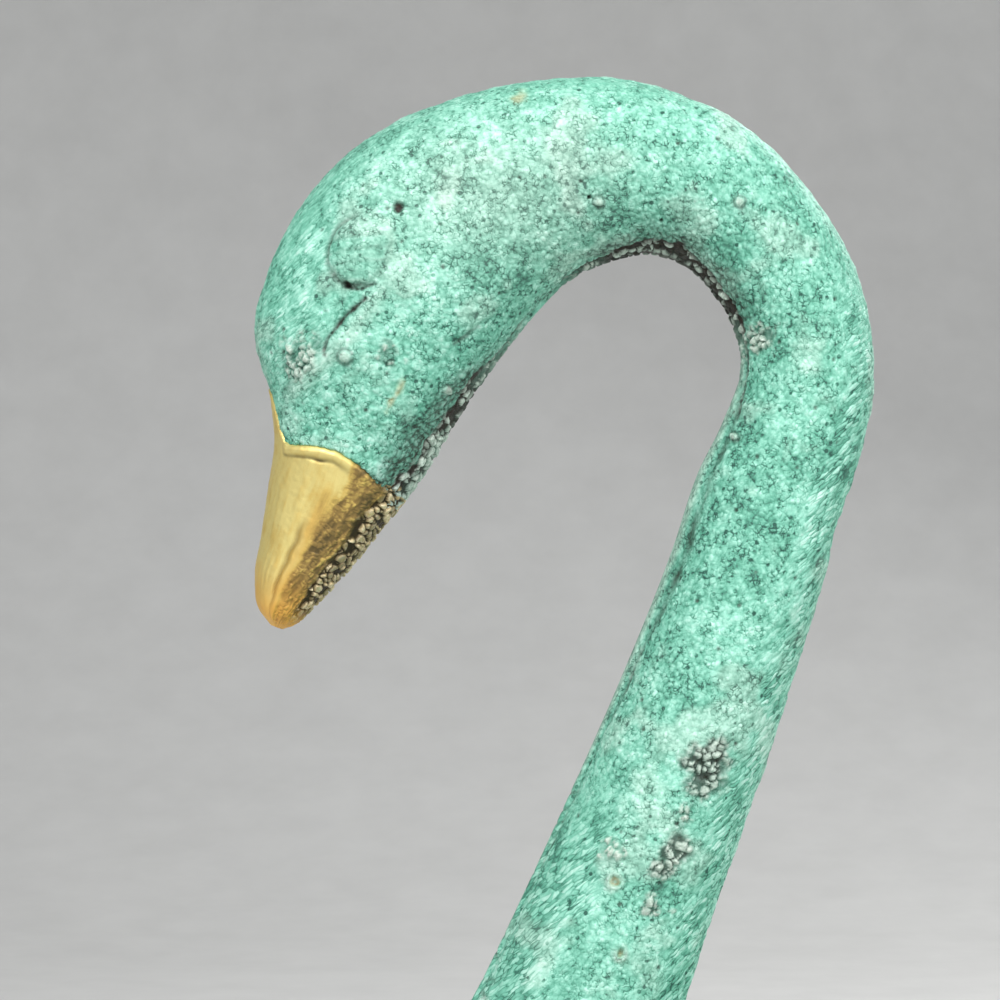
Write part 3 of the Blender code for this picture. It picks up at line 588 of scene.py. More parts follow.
def tear_seam(skin):
    """The rough seam under the throat, in the bend and down the inner edge."""
    points, x, z, angle = skin.points, skin.x, skin.z, skin.angle
    distance = distances(NECK_PROFILE)
    knots, widths, tears = zip(*SEAM_STATIONS)
    wide = np.interp(skin.along, distance[list(knots)], widths)
    torn = np.interp(skin.along, distance[list(knots)], tears)
    share = angle / (wide * (1 + 0.16 * noise(points, 4.0, 51) + 0.14 * noise(points, 1.3, 52)))
    in_seam = 1 - ease(0.86, 1.04, share)
    crumbs, number = granules(points, CRUMB_SIZE, 61)
    bead = 1 - ease(0.42, 0.68, share)
    groove = hump(share - 0.88, 0.17) * (0.6 + 0.4 * noise(points, 2.2, 53)) * ease(82.0, 100.0, z)
    fringe = ease(2.2, 1.0, share) * (1 - in_seam) * torn
    bend = torn * (x > -60.0)
    throat = ease(-52.0, -58.0, x)
    skin.height = skin.height * (1 - in_seam) + in_seam * torn * (0.5 * crumbs - 0.25)
    skin.height += (0.35 * bead - 0.45 * groove) * (1 - 0.7 * torn)
    skin.mark("dark", in_seam * torn * (0.95 - 0.4 * crumbs) + (0.95 - 0.2 * torn) * groove)
    # Round the torn seam the green is painted darker, fading outwards: partly darker patina, partly painted
    # shade falling into the seam.
    skin.mark("dark", fringe * (0.28 + 0.22 * throat + 0.45 * ease(0.55 + 0.15 * throat, 0.2, skin.grain)))
    # In the bend the torn seam is painted near black: painted shade in the groove there.
    skin.mark("dark", 0.98 * bend * in_seam)
    glint = in_seam * torn * ease(0.15, 0.6, crumbs) * (0.25 + 0.75 * number)
    skin.mark("glint", glint * (1 - bend * (1 - 1.3 * (number > 0.45) * hump(share - 0.6, 0.3))))
    skin.mark("wash_and_highlight", 0.8 * bead * (1 - torn) * ease(104.0, 114.0, z) * (x > -45.0))

    wave = np.mod(skin.along / 2.3 + 0.5 * noise(points, 3.0, 54), 1.0)
    notch = hump(wave - 0.5, 0.12) * ease(34.0, 14.0, angle) * ease(112.0, 104.0, z)
    notch = notch * ease(-0.1, 0.5, noise(points, 4.0, 55))
    skin.height -= 0.16 * notch
    skin.mark("dark", 0.75 * notch)
    skin.mark("smooth", 0.7 * ease(58.0, 32.0, angle + 8 * skin.patchy) * ease(125.0, 108.0, z))


def pale_wash(skin):
    """Pale verdigris in patches all over, on the parting along the neck's back, and on the crown, partly
    painted highlight.
    """
    crown_x = (skin.x - PALE_CROWN[0]) / PALE_CROWN_STRETCH
    wash_and_highlight = 0.60 * hump(np.hypot(crown_x, skin.z - PALE_CROWN[1]), PALE_CROWN_RADIUS)
    wash_and_highlight += 0.45 * ease(0.15, 0.9, skin.patchy + 0.4 * layered(skin.points, 11.0, 71, 2))
    parting = hump(skin.from_dorsal + 2.0 * skin.ragged, 4.0)
    skin.height += 0.12 * parting
    skin.mark("wash_and_highlight", np.maximum(wash_and_highlight, 0.5 * parting))


def eye_relief(x, z, ragged):
    """Height of the eye, how dark its rim and creases are, and where its lens and its lid are."""
    long_way = (x - EYE[0]) * math.sin(EYE_LEAN) + (z - EYE[1]) * math.cos(EYE_LEAN)
    wide_way = (x - EYE[0]) * math.cos(EYE_LEAN) - (z - EYE[1]) * math.sin(EYE_LEAN)
    ring = np.hypot(long_way / EYE_HALF_LENGTH, wide_way / EYE_HALF_WIDTH) + 0.04 * ragged
    dome = EYE_HEIGHT * np.sqrt(unit(1 - ring**2))
    front = ease(1.6, -2.2, wide_way + 0.8 * long_way)
    rim = hump(ring - 1.05, 0.07) * front * (0.75 + 0.45 * ragged)
    creases = np.zeros(x.shape)
    for number in range(LID_FOLDS):
        fold = [(px, pz + LID_FOLD_STEP * number) for px, pz in LID_LINE]
        creases = np.maximum(creases, hump(away_from_line(x, z, fold) + 0.15 * ragged, 0.22))
    creases = creases * (ring < 0.98) * (0.6 + 0.4 * ragged)
    lower = hump(away_from_line(x, z, LOWER_LID) + 0.18 * ragged, 0.22) * (0.8 + 0.5 * ragged)
    lid = ease(-0.3, 0.6, z - EYE[1] - 1.3 - 0.12 * (x - EYE[0])) * ease(1.0, 0.85, ring)
    lens = ease(1.0, 0.8, ring) * (1 - lid)
    height = dome + 0.15 * lid - 0.45 * rim - 0.14 * creases - 0.45 * lower
    return height, unit(0.9 * rim + 0.30 * creases + 0.9 * lower), lens, lid


def draw_face(skin):
    """The eye, the creases round it and the cheek, on both sides of the head."""
    x, z, ragged = skin.x, skin.z, skin.ragged
    on_side = ease(25.0, 55.0, skin.angle) * ease(25.0, 55.0, skin.from_dorsal)
    eye_height, eye_dark, lens, lid = eye_relief(x, z, ragged)
    lore = hump(away_from_line(x, z, LORE) + 0.16 * ragged, 0.24)
    trail = hump(away_from_line(x, z, LORE_TRAIL) + 0.3 * ragged, 0.45) * (0.5 + 0.5 * skin.fine)
    crack = hump(away_from_line(x, z, THROAT_CRACK) + 0.15 * ragged, 0.26)
    ridge = hump(away_from_line(x, z, CHEEK_RIDGE), 1.2)
    skin.height += on_side * (eye_height - 0.5 * lore - 0.25 * trail - 0.3 * crack + 0.32 * ridge)
    skin.mark("dark", on_side * unit(eye_dark + lore + 0.6 * trail + 0.8 * crack))
    skin.mark("wash_and_highlight", on_side * np.maximum(ridge * 0.5, lid * 0.45))
    skin.marks["wash_and_highlight"] = skin.marks["wash_and_highlight"] * (1 - 0.5 * lens * on_side)
    skin.mark("smooth", 0.6 * lens * on_side)


def left_marks(skin):
    """Pits, crumbs, craters, scratches and nodules, on the left side alone."""
    x, z, ragged = skin.x, skin.z, skin.ragged
    height, dark, glint, gold = (np.zeros(len(x)) for _ in range(4))
    crumbs, number = granules(skin.points, 1.0, 91)
    crisp = noise(skin.points, 0.6, 94)
    torn = ragged + 0.8 * noise(skin.points, 2.6, 93)
    for px, pz, radius in DARK_PITS:
        away = np.hypot(x - px, z - pz) + 0.22 * ragged + 0.18 * crisp
        pit = ease(1.15 * radius, 0.55 * radius, away)
        height -= 0.6 * pit
        dark = np.maximum(dark, pit)
    for px, pz, radius, depth in PIT_CLUSTERS:
        away = np.hypot(x - px, z - pz) + 1.1 * torn
        inside = 1 - ease(0.5 * radius, 1.25 * radius, away)
        height += inside * (0.7 * crumbs - 0.35 * depth)
        dark = np.maximum(dark, depth * inside * (1 - 0.5 * crumbs))
        glint = np.maximum(glint, inside * ease(0.15, 0.5, crumbs) * (0.55 + 0.45 * number))
    trail = hump(away_from_line(x, z, PIT_TRAIL) + 0.5 * torn, 0.7) * (0.6 + 0.4 * crisp)
    height -= 0.25 * trail
    dark = np.maximum(dark, 0.5 * trail)
    for px, pz in CRATERS:
        away = np.hypot(x - px, z - pz) + 0.25 * ragged + 0.12 * crisp
        height += 0.40 * hump(away - 0.8, 0.32) - 0.30 * hump(away, 0.5)
        glint = np.maximum(glint, 0.75 * hump(away - 0.8, 0.34) * (0.5 + 0.5 * crisp))
        gold = np.maximum(gold, 0.5 * hump(away - 0.2, 0.26))
        dark = np.maximum(dark, 0.55 * hump(away - 0.1, 0.22))
    for start, end, radius in GOLD_MARKS:
        scratch = hump(away_from_line(x, z, (start, end)) + 0.35 * ragged + 0.2 * crisp, radius)
        gold = np.maximum(gold, 0.5 * scratch)
    for px, pz, radius in NODULES:
        away = np.hypot(x - px, z - pz) + 0.1 * crisp
        bead = ease(radius, 0.6 * radius, away)
        height += 0.75 * radius * np.sqrt(unit(1 - (away / radius) ** 2))
        glint = np.maximum(glint, 0.6 * bead)
        shadow = hump(np.hypot(x - px - 0.2, z - pz + 0.4), 0.85 * radius)
        shadow = np.maximum(shadow, 0.7 * hump(away - 1.15 * radius + 0.1 * ragged, 0.2))
        dark = np.maximum(dark * (1 - bead), 0.85 * shadow * (1 - bead))
    skin.height += height
    for mark, values in (("dark", dark), ("glint", glint), ("gold", gold)):
        skin.mark(mark, values)


def bill_covers(down, angle, points):
    """1 where the bill lies over the head and 0 where the head shows, and the way below the bill's edge."""
    edge = np.interp(angle, *zip(*BILL_EDGE)) + 0.16 * noise(points, 1.4, 142)
    return ease(-0.12, 0.12, down - edge), down - edge


def tuck_under_bill(skin):
    """The head's edge dips under the bill, apart from the crumbs, which run on."""
    covers, _ = bill_covers(skin.along - distances(NECK_PROFILE)[-1], skin.angle, skin.points)
    sunk = np.where(skin.angle < CRUMB_EDGE, skin.height - 0.12, -0.7)
    skin.height = skin.height * (1 - covers) + sunk * covers


def body_shape(xi):
    """Half width, spine height, and rise and drop from the spine, at places from -1 to 1 along the body."""
    fore, aft = np.maximum(-xi, 0.0), np.maximum(xi, 0.0)
    width = (1 - fore**2.6) ** 0.5 * (1 - aft**1.9) ** 0.8
    back = (1 - fore**4.0) ** 0.45 * (1 - aft**2.0) ** 0.8
    keel = (1 - fore**2.4) ** 0.5 * (1 - aft**2.2) ** 0.8
    spine = SPINE_HEIGHT + RUMP_LIFT * aft**2
    rise = (BACK_HEIGHT - SPINE_HEIGHT) * back
    drop = (SPINE_HEIGHT + KEEL_DEPTH) * keel
    return BODY_WIDTH / 2 * width, spine, rise, drop


def body_grid(side, columns, rows, inset=0.0):
    """Points of one side of the body, row by row from the breast to the rump."""
    xi = -np.cos(np.linspace(0.0, math.pi, rows)) * BODY_REACH
    width, spine, rise, drop = body_shape(xi)
    up, out = half_turn(columns, BODY_SQUARE)
    rise = np.maximum(rise - inset, LEAST_INNER)[:, None]
    drop = np.maximum(drop - inset, LEAST_INNER)[:, None]
    across = np.maximum(width - inset, LEAST_INNER)[:, None] * out
    z = spine[:, None] + np.where(up > 0, rise, drop) * up
    x = np.broadcast_to((BODY_CENTRE_X + xi * (BODY_LENGTH / 2 - inset))[:, None], z.shape)
    return np.stack([x, side * np.maximum(across, SEAM), z], axis=2)


def body_distance(points):
    """A rough distance outside the body's plain form in millimetres."""
    x, y, z = points.T
    xi = np.clip((x - BODY_CENTRE_X) / (BODY_LENGTH / 2), -0.999, 0.999)
    width, spine, rise, drop = body_shape(xi)
    tall = np.where(z > spine, rise, drop)
    share = (np.abs(y) / width) ** BODY_SQUARE + (np.abs(z - spine) / tall) ** BODY_SQUARE
    return (share ** (1 / BODY_SQUARE) - 1) * np.minimum(width, tall)


def neck_distance(points):
    """Distance outside the foot of the neck's plain form in millimetres."""
    x, y, z = points.T
    gap = np.full(len(points), 1e9)
    for row in profile_rows(NECK_PROFILE, FOOT_ROWS, 0.0, FOOT_SHARE):
        middle = (row[0:2] + row[2:4]) / 2
        reach = np.linalg.norm(row[2:4] - row[0:2]) / 2
        axis = (row[2:4] - row[0:2]) / (2 * reach)
        deep = (x - middle[0]) * axis[0] + (z - middle[1]) * axis[1]
        off = (x - middle[0]) * -axis[1] + (z - middle[1]) * axis[0]
        share = np.sqrt((deep / reach) ** 2 + (y / (row[4] / 2)) ** 2)
        gap = np.minimum(gap, np.hypot(np.maximum(share - 1, 0.0) * row[4] / 2, off))
    return gap


def fillet(distance):
    return FILLET / 4 * unit(1 - np.maximum(distance, 0.0) / FILLET) ** 2


def bill_rows():
    """Sections from just inside the head to the tip, with their distance from the joint in millimetres."""
    head = profile_rows(NECK_PROFILE, HEAD_END_ROWS, HEAD_END_SHARE)
    whole_bill = np.vstack([NECK_PROFILE[-1:], BILL_PROFILE])
    rows = np.concatenate([head[:-1], profile_rows(whole_bill, BILL_ROWS)])
    distance = distances(rows)
    return rows, distance - distance[len(head) - 1]


def neck_rows():
    """Sections of the neck and a little of the bill below its joint, with their distance along the neck."""
    rows = profile_rows(NECK_PROFILE, NECK_ROWS)
    along = np.linspace(0.0, distances(NECK_PROFILE)[-1], NECK_ROWS)
    beyond, down = bill_rows()
    shown = (down > HEAD_OVERLAP_FROM) & (down < HEAD_OVERLAP)
    return np.concatenate([rows, beyond[shown]]), np.concatenate([along, along[-1] + down[shown]])


def neck_skin(name, side, finish):
    rows, along = neck_rows()
    outer = half_sections(rows, side, NECK_COLUMNS)
    inner = half_sections(rows, side, INNER_COLUMNS, WALL)
    skin = NeckSkin(outer, along)
    brush_and_grain(skin)
    tear_seam(skin)
    pale_wash(skin)
    draw_face(skin)
    if side < 0:
        left_marks(skin)
    tuck_under_bill(skin)
    height = skin.height + fillet(body_distance(skin.points))
    outer = outer + normals_of(outer, side) * height.reshape(outer.shape[:2])[:, :, None]
    outer[:, [0, -1], 1] = side * SEAM
    return shell_piece(name, outer, inner, skin.marks, finish)


def plumage(x, column):
    """The staggered rows of small feathers.

    It gives their height, from 0 at their roots to 1 at their tips, the way from the root and from the
    shaft, the rims of the tips, and the shade on what lies behind and between them.
    """
    run = x - BODY_CENTRE_X + BODY_LENGTH / 2 - BREAST_CAP
    height, way, aside, rim, shade = (np.zeros(x.shape) for _ in range(5))
    root = np.zeros(x.shape)
    for row in range(PLUMAGE_ROWS):
        offset = (column + row + 1) % 2 - 1
        valley = np.abs(np.sin(offset * math.pi / 2)) ** 1.4
        tip = (row + 1) * PLUMAGE_ROW - PLUMAGE_SCALLOP * valley
        inside = (run >= root) & (run < tip)
        share = unit((run - root) / (tip - root))
        gap = hump((1 - np.abs(offset)) * PLUMAGE_HALF_WIDTH, 0.6) * ease(0.2, 0.6, share)
        behind = hump(run - root, 0.8) * (row > 0)
        height = np.where(inside, share * (1 - valley / 2), height)
        way = np.where(inside, run - root, way)
        aside = np.where(inside, offset * PLUMAGE_HALF_WIDTH, aside)
        rim = np.where(inside, hump(tip - run, 0.7), rim)
        shade = np.where(inside, np.maximum(behind, 0.8 * gap), shade)
        root = tip
    return height, way, aside, rim, shade


def plumage_share(points):
    """1 where the plumage shows, and less near the wings and the neck's foot."""
    x, y, z = points.T
    lower = np.interp(x, WING_EDGES[:, 0], WING_EDGES[:, 1])
    upper = np.interp(x, WING_EDGES[:, 3], WING_EDGES[:, 4])
    past_ends = np.maximum(WING_EDGES[0, 0] - x, x - WING_EDGES[-1, 0])
    past_wing = np.maximum(np.maximum(lower - z, z - upper), past_ends)
    inner = np.interp(x, WING_EDGES[:, 3], WING_REACH - WING_THICKNESS - WING_EDGES[:, 5])
    past_wing = np.where(z > SPINE_HEIGHT, np.maximum(past_wing, inner - np.abs(y)), past_wing)
    ventral, _, dorsal, _, width = NECK_PROFILE[1]
    reach = (dorsal - ventral) / 2
    past_neck = (np.hypot((x - ventral - reach) / reach, 2 * y / width) - 1) * reach
    past_neck = np.where(z > SPINE_HEIGHT, past_neck, PLUMAGE_MARGIN)
    return unit(np.minimum(past_wing, past_neck) / PLUMAGE_MARGIN)


def barb_wave(way, aside, wobble):
    """The slanted barbs on both sides of a feather's shaft, from -1 to 1."""
    return np.cos(2 * math.pi * ((way - BARB_SLANT * np.abs(aside)) / BARB_SPACING + 0.35 * wobble))


def rounded_end(ring, outwards):
    """Rings that close the end of the body over its first or last section, from the middle to its edge."""
    middle = (ring[0] + ring[-1]) / 2
    rings = []
    for share in END_SHARES:
        inner = middle + (ring - middle) * share
        inner[:, 0] += outwards * END_BULGE * (1 - share**2)
        rings.append(inner)
    return np.array(rings)


def body_relief(points, columns):
    """How far each point of the body stands out of the plain form, and the marks for its colours."""
    x, _, z = points.T
    patchy = layered(points, 6.0, 111)
    grain = stipple(points, 5)
    pinholes = small_pits(points, 25)
    column = np.tile(np.linspace(0.0, BODY_SEGMENTS, columns), len(points) // columns)
    feathers, way, aside, rim, shade = plumage(x + 0.35 * patchy, column + 0.06 * noise(points, 3.0, 112))
    shows = plumage_share(points)
    drawn = shows * ease(0.5, 2.5, way)
    shaft = hump(aside, 0.5) * drawn
    barbs = (0.5 + 0.5 * barb_wave(way, aside, noise(points, 3.0, 113))) * (1 - shaft)
    rim = rim * shows
    shade = shade * shows
    ridges = unit(0.5 + 0.55 * stroke_noise(points, BODY_STROKE_SLANT, 3.0, 0.5, 131))
    ridges = ridges + (0.5 - ridges) * drawn
    relief = 0.35 * grain + 0.30 * ridges + 0.25 * feathers + 0.75 * (barbs - 0.5) * drawn - 0.4 * shade
    height = 0.17 * patchy + 0.12 * (grain - 0.6) + 0.10 * (ridges - 0.5) - 0.20 * pinholes
    height += PLUMAGE_RELIEF * feathers * shows + 0.30 * (barbs - 0.5) * drawn
    height += 0.40 * shaft + 0.16 * rim - 0.35 * shade
    height += fillet(neck_distance(points))
    return height, {
        "relief": relief,
        "stroked": (0.5 + 0.4 * np.clip(patchy, -1.0, 1.0)) * (1 - 0.5 * drawn),
        # Feather rims and shafts are painted pale: painted highlight on their raised edges, with pale
        # verdigris in patches.
        "wash_and_highlight": unit(0.40 * ease(0.1, 0.9, patchy) + 0.5 * rim + 0.55 * shaft),
        "dark": 0.62 * shade + 0.5 * ease(6.0, 2.5, z) + 0.7 * pinholes,
        "smooth": 0.25 * ease(0.2, 0.8, -patchy),
    }


def body_skin(name, side, finish):
    outer = body_grid(side, BODY_COLUMNS, BODY_ROWS)
    inner = body_grid(side, INNER_COLUMNS, BODY_ROWS, WALL)
    shape = outer.shape[:2]
    height, marks = body_relief(outer.reshape(-1, 3), shape[1])
    outer = outer + normals_of(outer, side) * height.reshape(shape)[:, :, None]
    outer[:, [0, -1], 1] = side * SEAM
    outer[:, :, 2] = np.maximum(outer[:, :, 2], BASE_PLANE)
    inner[:, :, 2] = np.maximum(inner[:, :, 2], BASE_PLANE + SHELL_FLOOR)
    ends = len(END_SHARES)
    steps = INNER_END_STEP * np.arange(1, ends + 1)[:, None, None] * np.array([1.0, 0.0, 0.0])
    outer = np.concatenate([rounded_end(outer[0], -1), outer, rounded_end(outer[-1], 1)[::-1]])
    inner = np.concatenate([inner[0] - steps[::-1], inner, inner[-1] + steps])
    for mark, values in marks.items():
        marks[mark] = np.pad(values.reshape(shape), ((ends, ends), (0, 0)), "edge")
    return shell_piece(name, outer, inner, marks, finish)


def fill_hole_ends(mesh):
    """Makes the blind screw holes of a wing a little shallower, so that the thin wall over them holds."""
    points = mesh_points(mesh) / MM
    for hole_x, hole_z, hole_end in SCREW_HOLE_ENDS:
        away = np.hypot(points[:, 0] - hole_x, points[:, 2] - hole_z)
        at_end = (away < SCREW_HOLE_RADIUS) & (np.abs(np.abs(points[:, 1]) - hole_end) < 0.03)
        points[at_end, 1] *= 1 - SCREW_HOLE_FILL / hole_end
    move_points(mesh, points)


def remeshed(node, voxel):
    """A copy of a solid's surface with even fine faces."""
    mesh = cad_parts[node].data.copy()
    if node.startswith("wing"):
        fill_hole_ends(mesh)
    piece = bpy.data.objects.new("remesh_" + node, mesh)
    bpy.context.scene.collection.objects.link(piece)
    even = piece.modifiers.new("even", "REMESH")
    even.mode = "VOXEL"
    even.voxel_size = voxel * MM
    soften = piece.modifiers.new("soften", "SMOOTH")
    soften.iterations = 3
    soften.factor = 0.5
    graph = bpy.context.evaluated_depsgraph_get()
    made = bpy.data.meshes.new_from_object(piece.evaluated_get(graph))
    bpy.data.objects.remove(piece)
    bpy.data.meshes.remove(mesh)
    return made


def wing_place(points):
    """How far along and up the wing each point is, from 0 to 1, and the wing's length and breadth there."""
    x, _, z = points.T
    stations = np.linspace(0.0, 1.0, WING_STATIONS)
    edges = smooth_rows(WING_EDGES, np.linspace(0.0, 1.0, len(WING_EDGES)), stations)
    length = WING_EDGES[-1, 0] - WING_EDGES[0, 0]
    along = np.interp(x, (edges[:, 0] + edges[:, 3]) / 2, stations)
    for _ in range(WING_PLACE_STEPS):
        low_x, low_z, _, high_x, high_z = (np.interp(along, stations, edges[:, k]) for k in range(5))
        up = (z - low_z) / (high_z - low_z)
        along = along + (x - low_x - (high_x - low_x) * up) / length
    return along, up, length, high_z - low_z


def wing_feathers():
    """Start, tip, place, count, lift and tilt of each feather of a wing."""
    for count, start, end, lift, slope in FEATHER_TIERS:
        for place in range(count):
            yield start, end + slope * place / (count - 1), place, count, lift, -FEATHER_TILT


def tail_place(points):
    """How far along and across the tail each point is, from 0 to 1, and its length and breadth there."""
    x, y, _ = points.T
    along = (x - BODY_CENTRE_X - BODY_LENGTH / 2 + TAIL_ROOT_DEPTH) / TAIL_LENGTH
    spread = TAIL_ROOT_WIDTH + (TAIL_TIP_WIDTH - TAIL_ROOT_WIDTH) * along
    return along, y / spread + 0.5, TAIL_LENGTH, spread


def tail_feathers():
    """Start, tip, place, count, lift and tilt of each feather of the tail."""
    for place in range(TAIL_FEATHERS):
        offset = 2 * place / (TAIL_FEATHERS - 1) - 1
        lift = TAIL_FEATHER_LIFT - TAIL_EDGE_DROP * abs(offset)
        tip = 1.0 - TAIL_ROUNDING * offset**2
        yield TAIL_FEATHER_START, tip, place, TAIL_FEATHERS, lift, -FEATHER_TILT * np.sign(offset)


def feather_marks(place_on, feathers, thickness):
    """The uppermost feather at each point: way from its root and shaft, its rim, and the shade on it."""
    along, across, length, breadth = place_on
    top, run, aside, rim, shade = (np.zeros(along.shape) for _ in range(5))
    outlines = []
    for start, tip, place, count, lift, tilt in feathers:
        a = (along - start) / (tip - start)
        round_tip = unit((a - FEATHER_TIP_FROM) / (1 - FEATHER_TIP_FROM))
        widening = FEATHER_ROOT_WIDTH + (1 - FEATHER_ROOT_WIDTH) * unit(a / FEATHER_FULL_FROM)
        reach = FEATHER_OVERLAP / count * widening * np.sqrt(np.maximum(1 - round_tip**2, 0.04))
        b = (across - (place + 0.5) / count) / reach
        held = np.clip(b, -1.0, 1.0)
        rise = (thickness / 2 + lift) * (FEATHER_ROOT_LIFT + (1 - FEATHER_ROOT_LIFT) * unit(a))
        rise = rise + tilt * held + FEATHER_CROWN * (1 - held**2)
        past_side = (np.abs(b) - 1) * reach * breadth
        past = np.maximum(past_side, (a - 1) * (tip - start) * length)
        higher = (past <= 0) & (a >= 0) & (rise > top)
        top = np.where(higher, rise, top)
        run = np.where(higher, a * (tip - start) * length, run)
        aside = np.where(higher, b * reach * breadth, aside)
        rim = np.where(higher, hump(past, 0.6), rim)
        outlines.append((past, rise, a))
    for past, rise, a in outlines:
        under = (past > 0) & (a >= 0.1) & (rise > top + 0.1)
        shade = np.maximum(shade, np.where(under, hump(past, 0.8), 0.0))
    return run, aside, rim, shade


def feathered_skin(name, node, voxel, finish, seed, place_on, feathers, thickness, outwards):
    """A wing or tail: the solid's feathers with shafts, barbs and the cast grain on them."""
    mesh = remeshed(node, voxel)
    points = mesh_points(mesh) / MM
    normals = np.empty(len(mesh.vertices) * 3)
    mesh.vertices.foreach_get("normal", normals)
    normals = normals.reshape(-1, 3)
    patchy = layered(points, 6.0, seed)
    grain = stipple(points, seed + 1)
    pinholes = small_pits(points, seed + 5)
    run, aside, rim, shade = feather_marks(place_on(points), feathers, thickness)
    shows = 0.3 + 0.7 * ease(-0.1, 0.3, normals @ np.array(outwards))
    shows = shows * ease(0.5, 3.0, run)
    shaft = hump(aside, 0.45) * ease(1.0, 5.0, run) * shows
    barbs = barb_wave(run, aside, noise(points, 3.0, seed + 2)) * (0.7 + 0.3 * noise(points, 1.5, seed + 3))
    barbs = unit(0.5 + 0.5 * barbs) * (1 - shaft)
    rim = rim * shows * (0.75 + 0.25 * noise(points, 1.2, seed + 4))
    shade = shade * shows
    height = 0.10 * patchy + 0.09 * (grain - 0.6) - 0.2 * pinholes
    height += shows * 0.32 * (barbs - 0.5) + 0.45 * shaft + 0.16 * rim - 0.30 * shade
    move_points(mesh, points + normals * height[:, None])
    mesh.shade_smooth()
    set_marks(mesh, {
        "relief": 0.30 * grain + 0.95 * barbs * shows + 0.10 - 0.5 * shade + 0.4 * (1 - shows),
        "stroked": 0.15 + 0.3 * unit(patchy),
        # Feather rims and shafts are painted pale: painted highlight on their raised edges, with pale
        # verdigris in patches.
        "wash_and_highlight": unit(0.35 * ease(0.1, 0.9, patchy) + 0.6 * rim + 0.7 * shaft),
        "dark": np.maximum(0.62 * shade, 0.7 * pinholes),
        "smooth": 0.25 + 0.15 * ease(0.2, 0.8, -patchy),
    })
    return add_piece(name, mesh, finish, "verdigris_brass", node)


def bill_half(rows, down, side):
    """One side of the bill, raised and marked."""
    grid = half_sections(rows, side, BILL_COLUMNS, square=BILL_SQUARE)
    count, columns, _ = grid.shape
    points = grid.reshape(-1, 3)
    angle = np.tile(np.linspace(0.0, 180.0, columns), count)
    run = np.repeat(unit(down / down[-1]), columns)
    down = np.repeat(down, columns)
    level = np.zeros(len(points))
    ragged = noise(points, 1.4, 142)
    grit = noise(points, 0.6, 144)
    brushed = noise(np.column_stack([down / 4.0, angle / 5.0, level]), 1.0, 141)
    slanted = np.column_stack([down / 1.3 + angle / 30.0, angle / 2.6 - down / 0.9, level])
    pebbles, _ = granules(points, 0.6, 147)
    scored = 0.6 * noise(slanted, 1.0, 145) + 0.8 * (pebbles - 0.4)
    crumbs, number = granules(points, CRUMB_SIZE, 61)

    covers, past_edge = bill_covers(down, angle, points)
    lip_end = ease(148.0, 138.0, angle)
    lip = hump(past_edge - 0.65, 0.5) * ease(58.0, 74.0, angle) * lip_end
    under_lip = hump(past_edge - 1.45, 0.3) * ease(76.0, 96.0, angle) * lip_end * (0.65 + 0.5 * ragged)
    mouth_angle = 93.0 + 15.0 * run
    mouth = hump(angle - mouth_angle - 1.5 * ragged, 3.0) * ease(0.34, 0.48, run) * ease(0.93, 0.75, run)
    ridge = hump(angle - mouth_angle + 8.0, 6.0) * ease(0.05, 0.2, run)
    below = ease(-9.0, -19.0, angle - mouth_angle - 3.0 * ragged)
    rough = ease(4.0, -5.0, angle - 47.0 - 12.0 * run + 6.0 * ragged) * ease(0.97, 0.80, run)

    height = 0.10 + 0.30 * lip - 0.18 * under_lip - 0.32 * mouth + 0.24 * ridge
    height = height + 0.04 * brushed + 0.12 * below * (1 - rough) * scored + 0.03 * grit
    height = height * (1 - rough) + rough * (0.5 * crumbs - 0.25)
    height = height * ease(1.0, 0.94, run)
    under = np.where(down < 0, -0.6, -0.25)
    under = np.where((angle < CRUMB_EDGE) & (down > -0.6), height - 0.12, under)
    height = height * covers + under * (1 - covers)
    raised = grid + normals_of(grid, side) * height.reshape(count, columns)[:, :, None]
    raised[:, [0, -1], 1] = 0.0
    crevices = below * ease(-0.05, -0.6, scored) * (1 - rough)
    marks = {
        # Below the mouth line the tone runs to olive-brown: partly the brass's own tone, partly painted
        # shade and dark reflection on the underside.
        "tone": 0.70 * below + 0.20 * ridge + 0.16 * brushed - 0.35 * below * scored + 0.10 * ragged,
        "dark": 0.8 * under_lip + 0.4 * mouth + rough * (0.95 - 0.45 * crumbs) + 0.28 * crevices,
        "glint": rough * ease(0.15, 0.6, crumbs) * (0.25 + 0.75 * number),
        "tip": ease(0.60, 1.0, run + 0.06 * ragged),
        "orange": 0.8 * ridge * ease(0.1, 0.4, run) + 0.4 * mouth,
    }
    return raised, {mark: values.reshape(count, columns) for mark, values in marks.items()}


def both_sides(left, right):
    """Rings that go up the left side and down the right side."""
    return np.concatenate([left, right[:, -2:0:-1]], axis=1)


def bill_skin(name, finish):
    rows, down = bill_rows()
    left, marks_left = bill_half(rows, down, -1)
    right, marks_right = bill_half(rows, down, 1)
    mesh = skin_mesh(name, both_sides(left, right))
    marks = {mark: both_sides(values, marks_right[mark]).reshape(-1) for mark, values in marks_left.items()}
    set_marks(mesh, marks)
    return add_piece(name, mesh, finish, "bare_brass", "bill")


def felt_skin(name, finish):
    """The felt with a soft edge and a pressed nap."""
    mesh = remeshed("base_felt", FELT_VOXEL)
    points = mesh_points(mesh) / MM
    points[:, 2] += np.where(points[:, 2] > FELT_UPPER_FACE, FELT_NAP * noise(points, 1.1, 151), 0.0)
    points[:, 2] = np.maximum(points[:, 2], 0.0)
    move_points(mesh, points)
    mesh.shade_smooth()
    piece = add_piece(name, mesh, finish, "felt", "base_felt")
    return piece


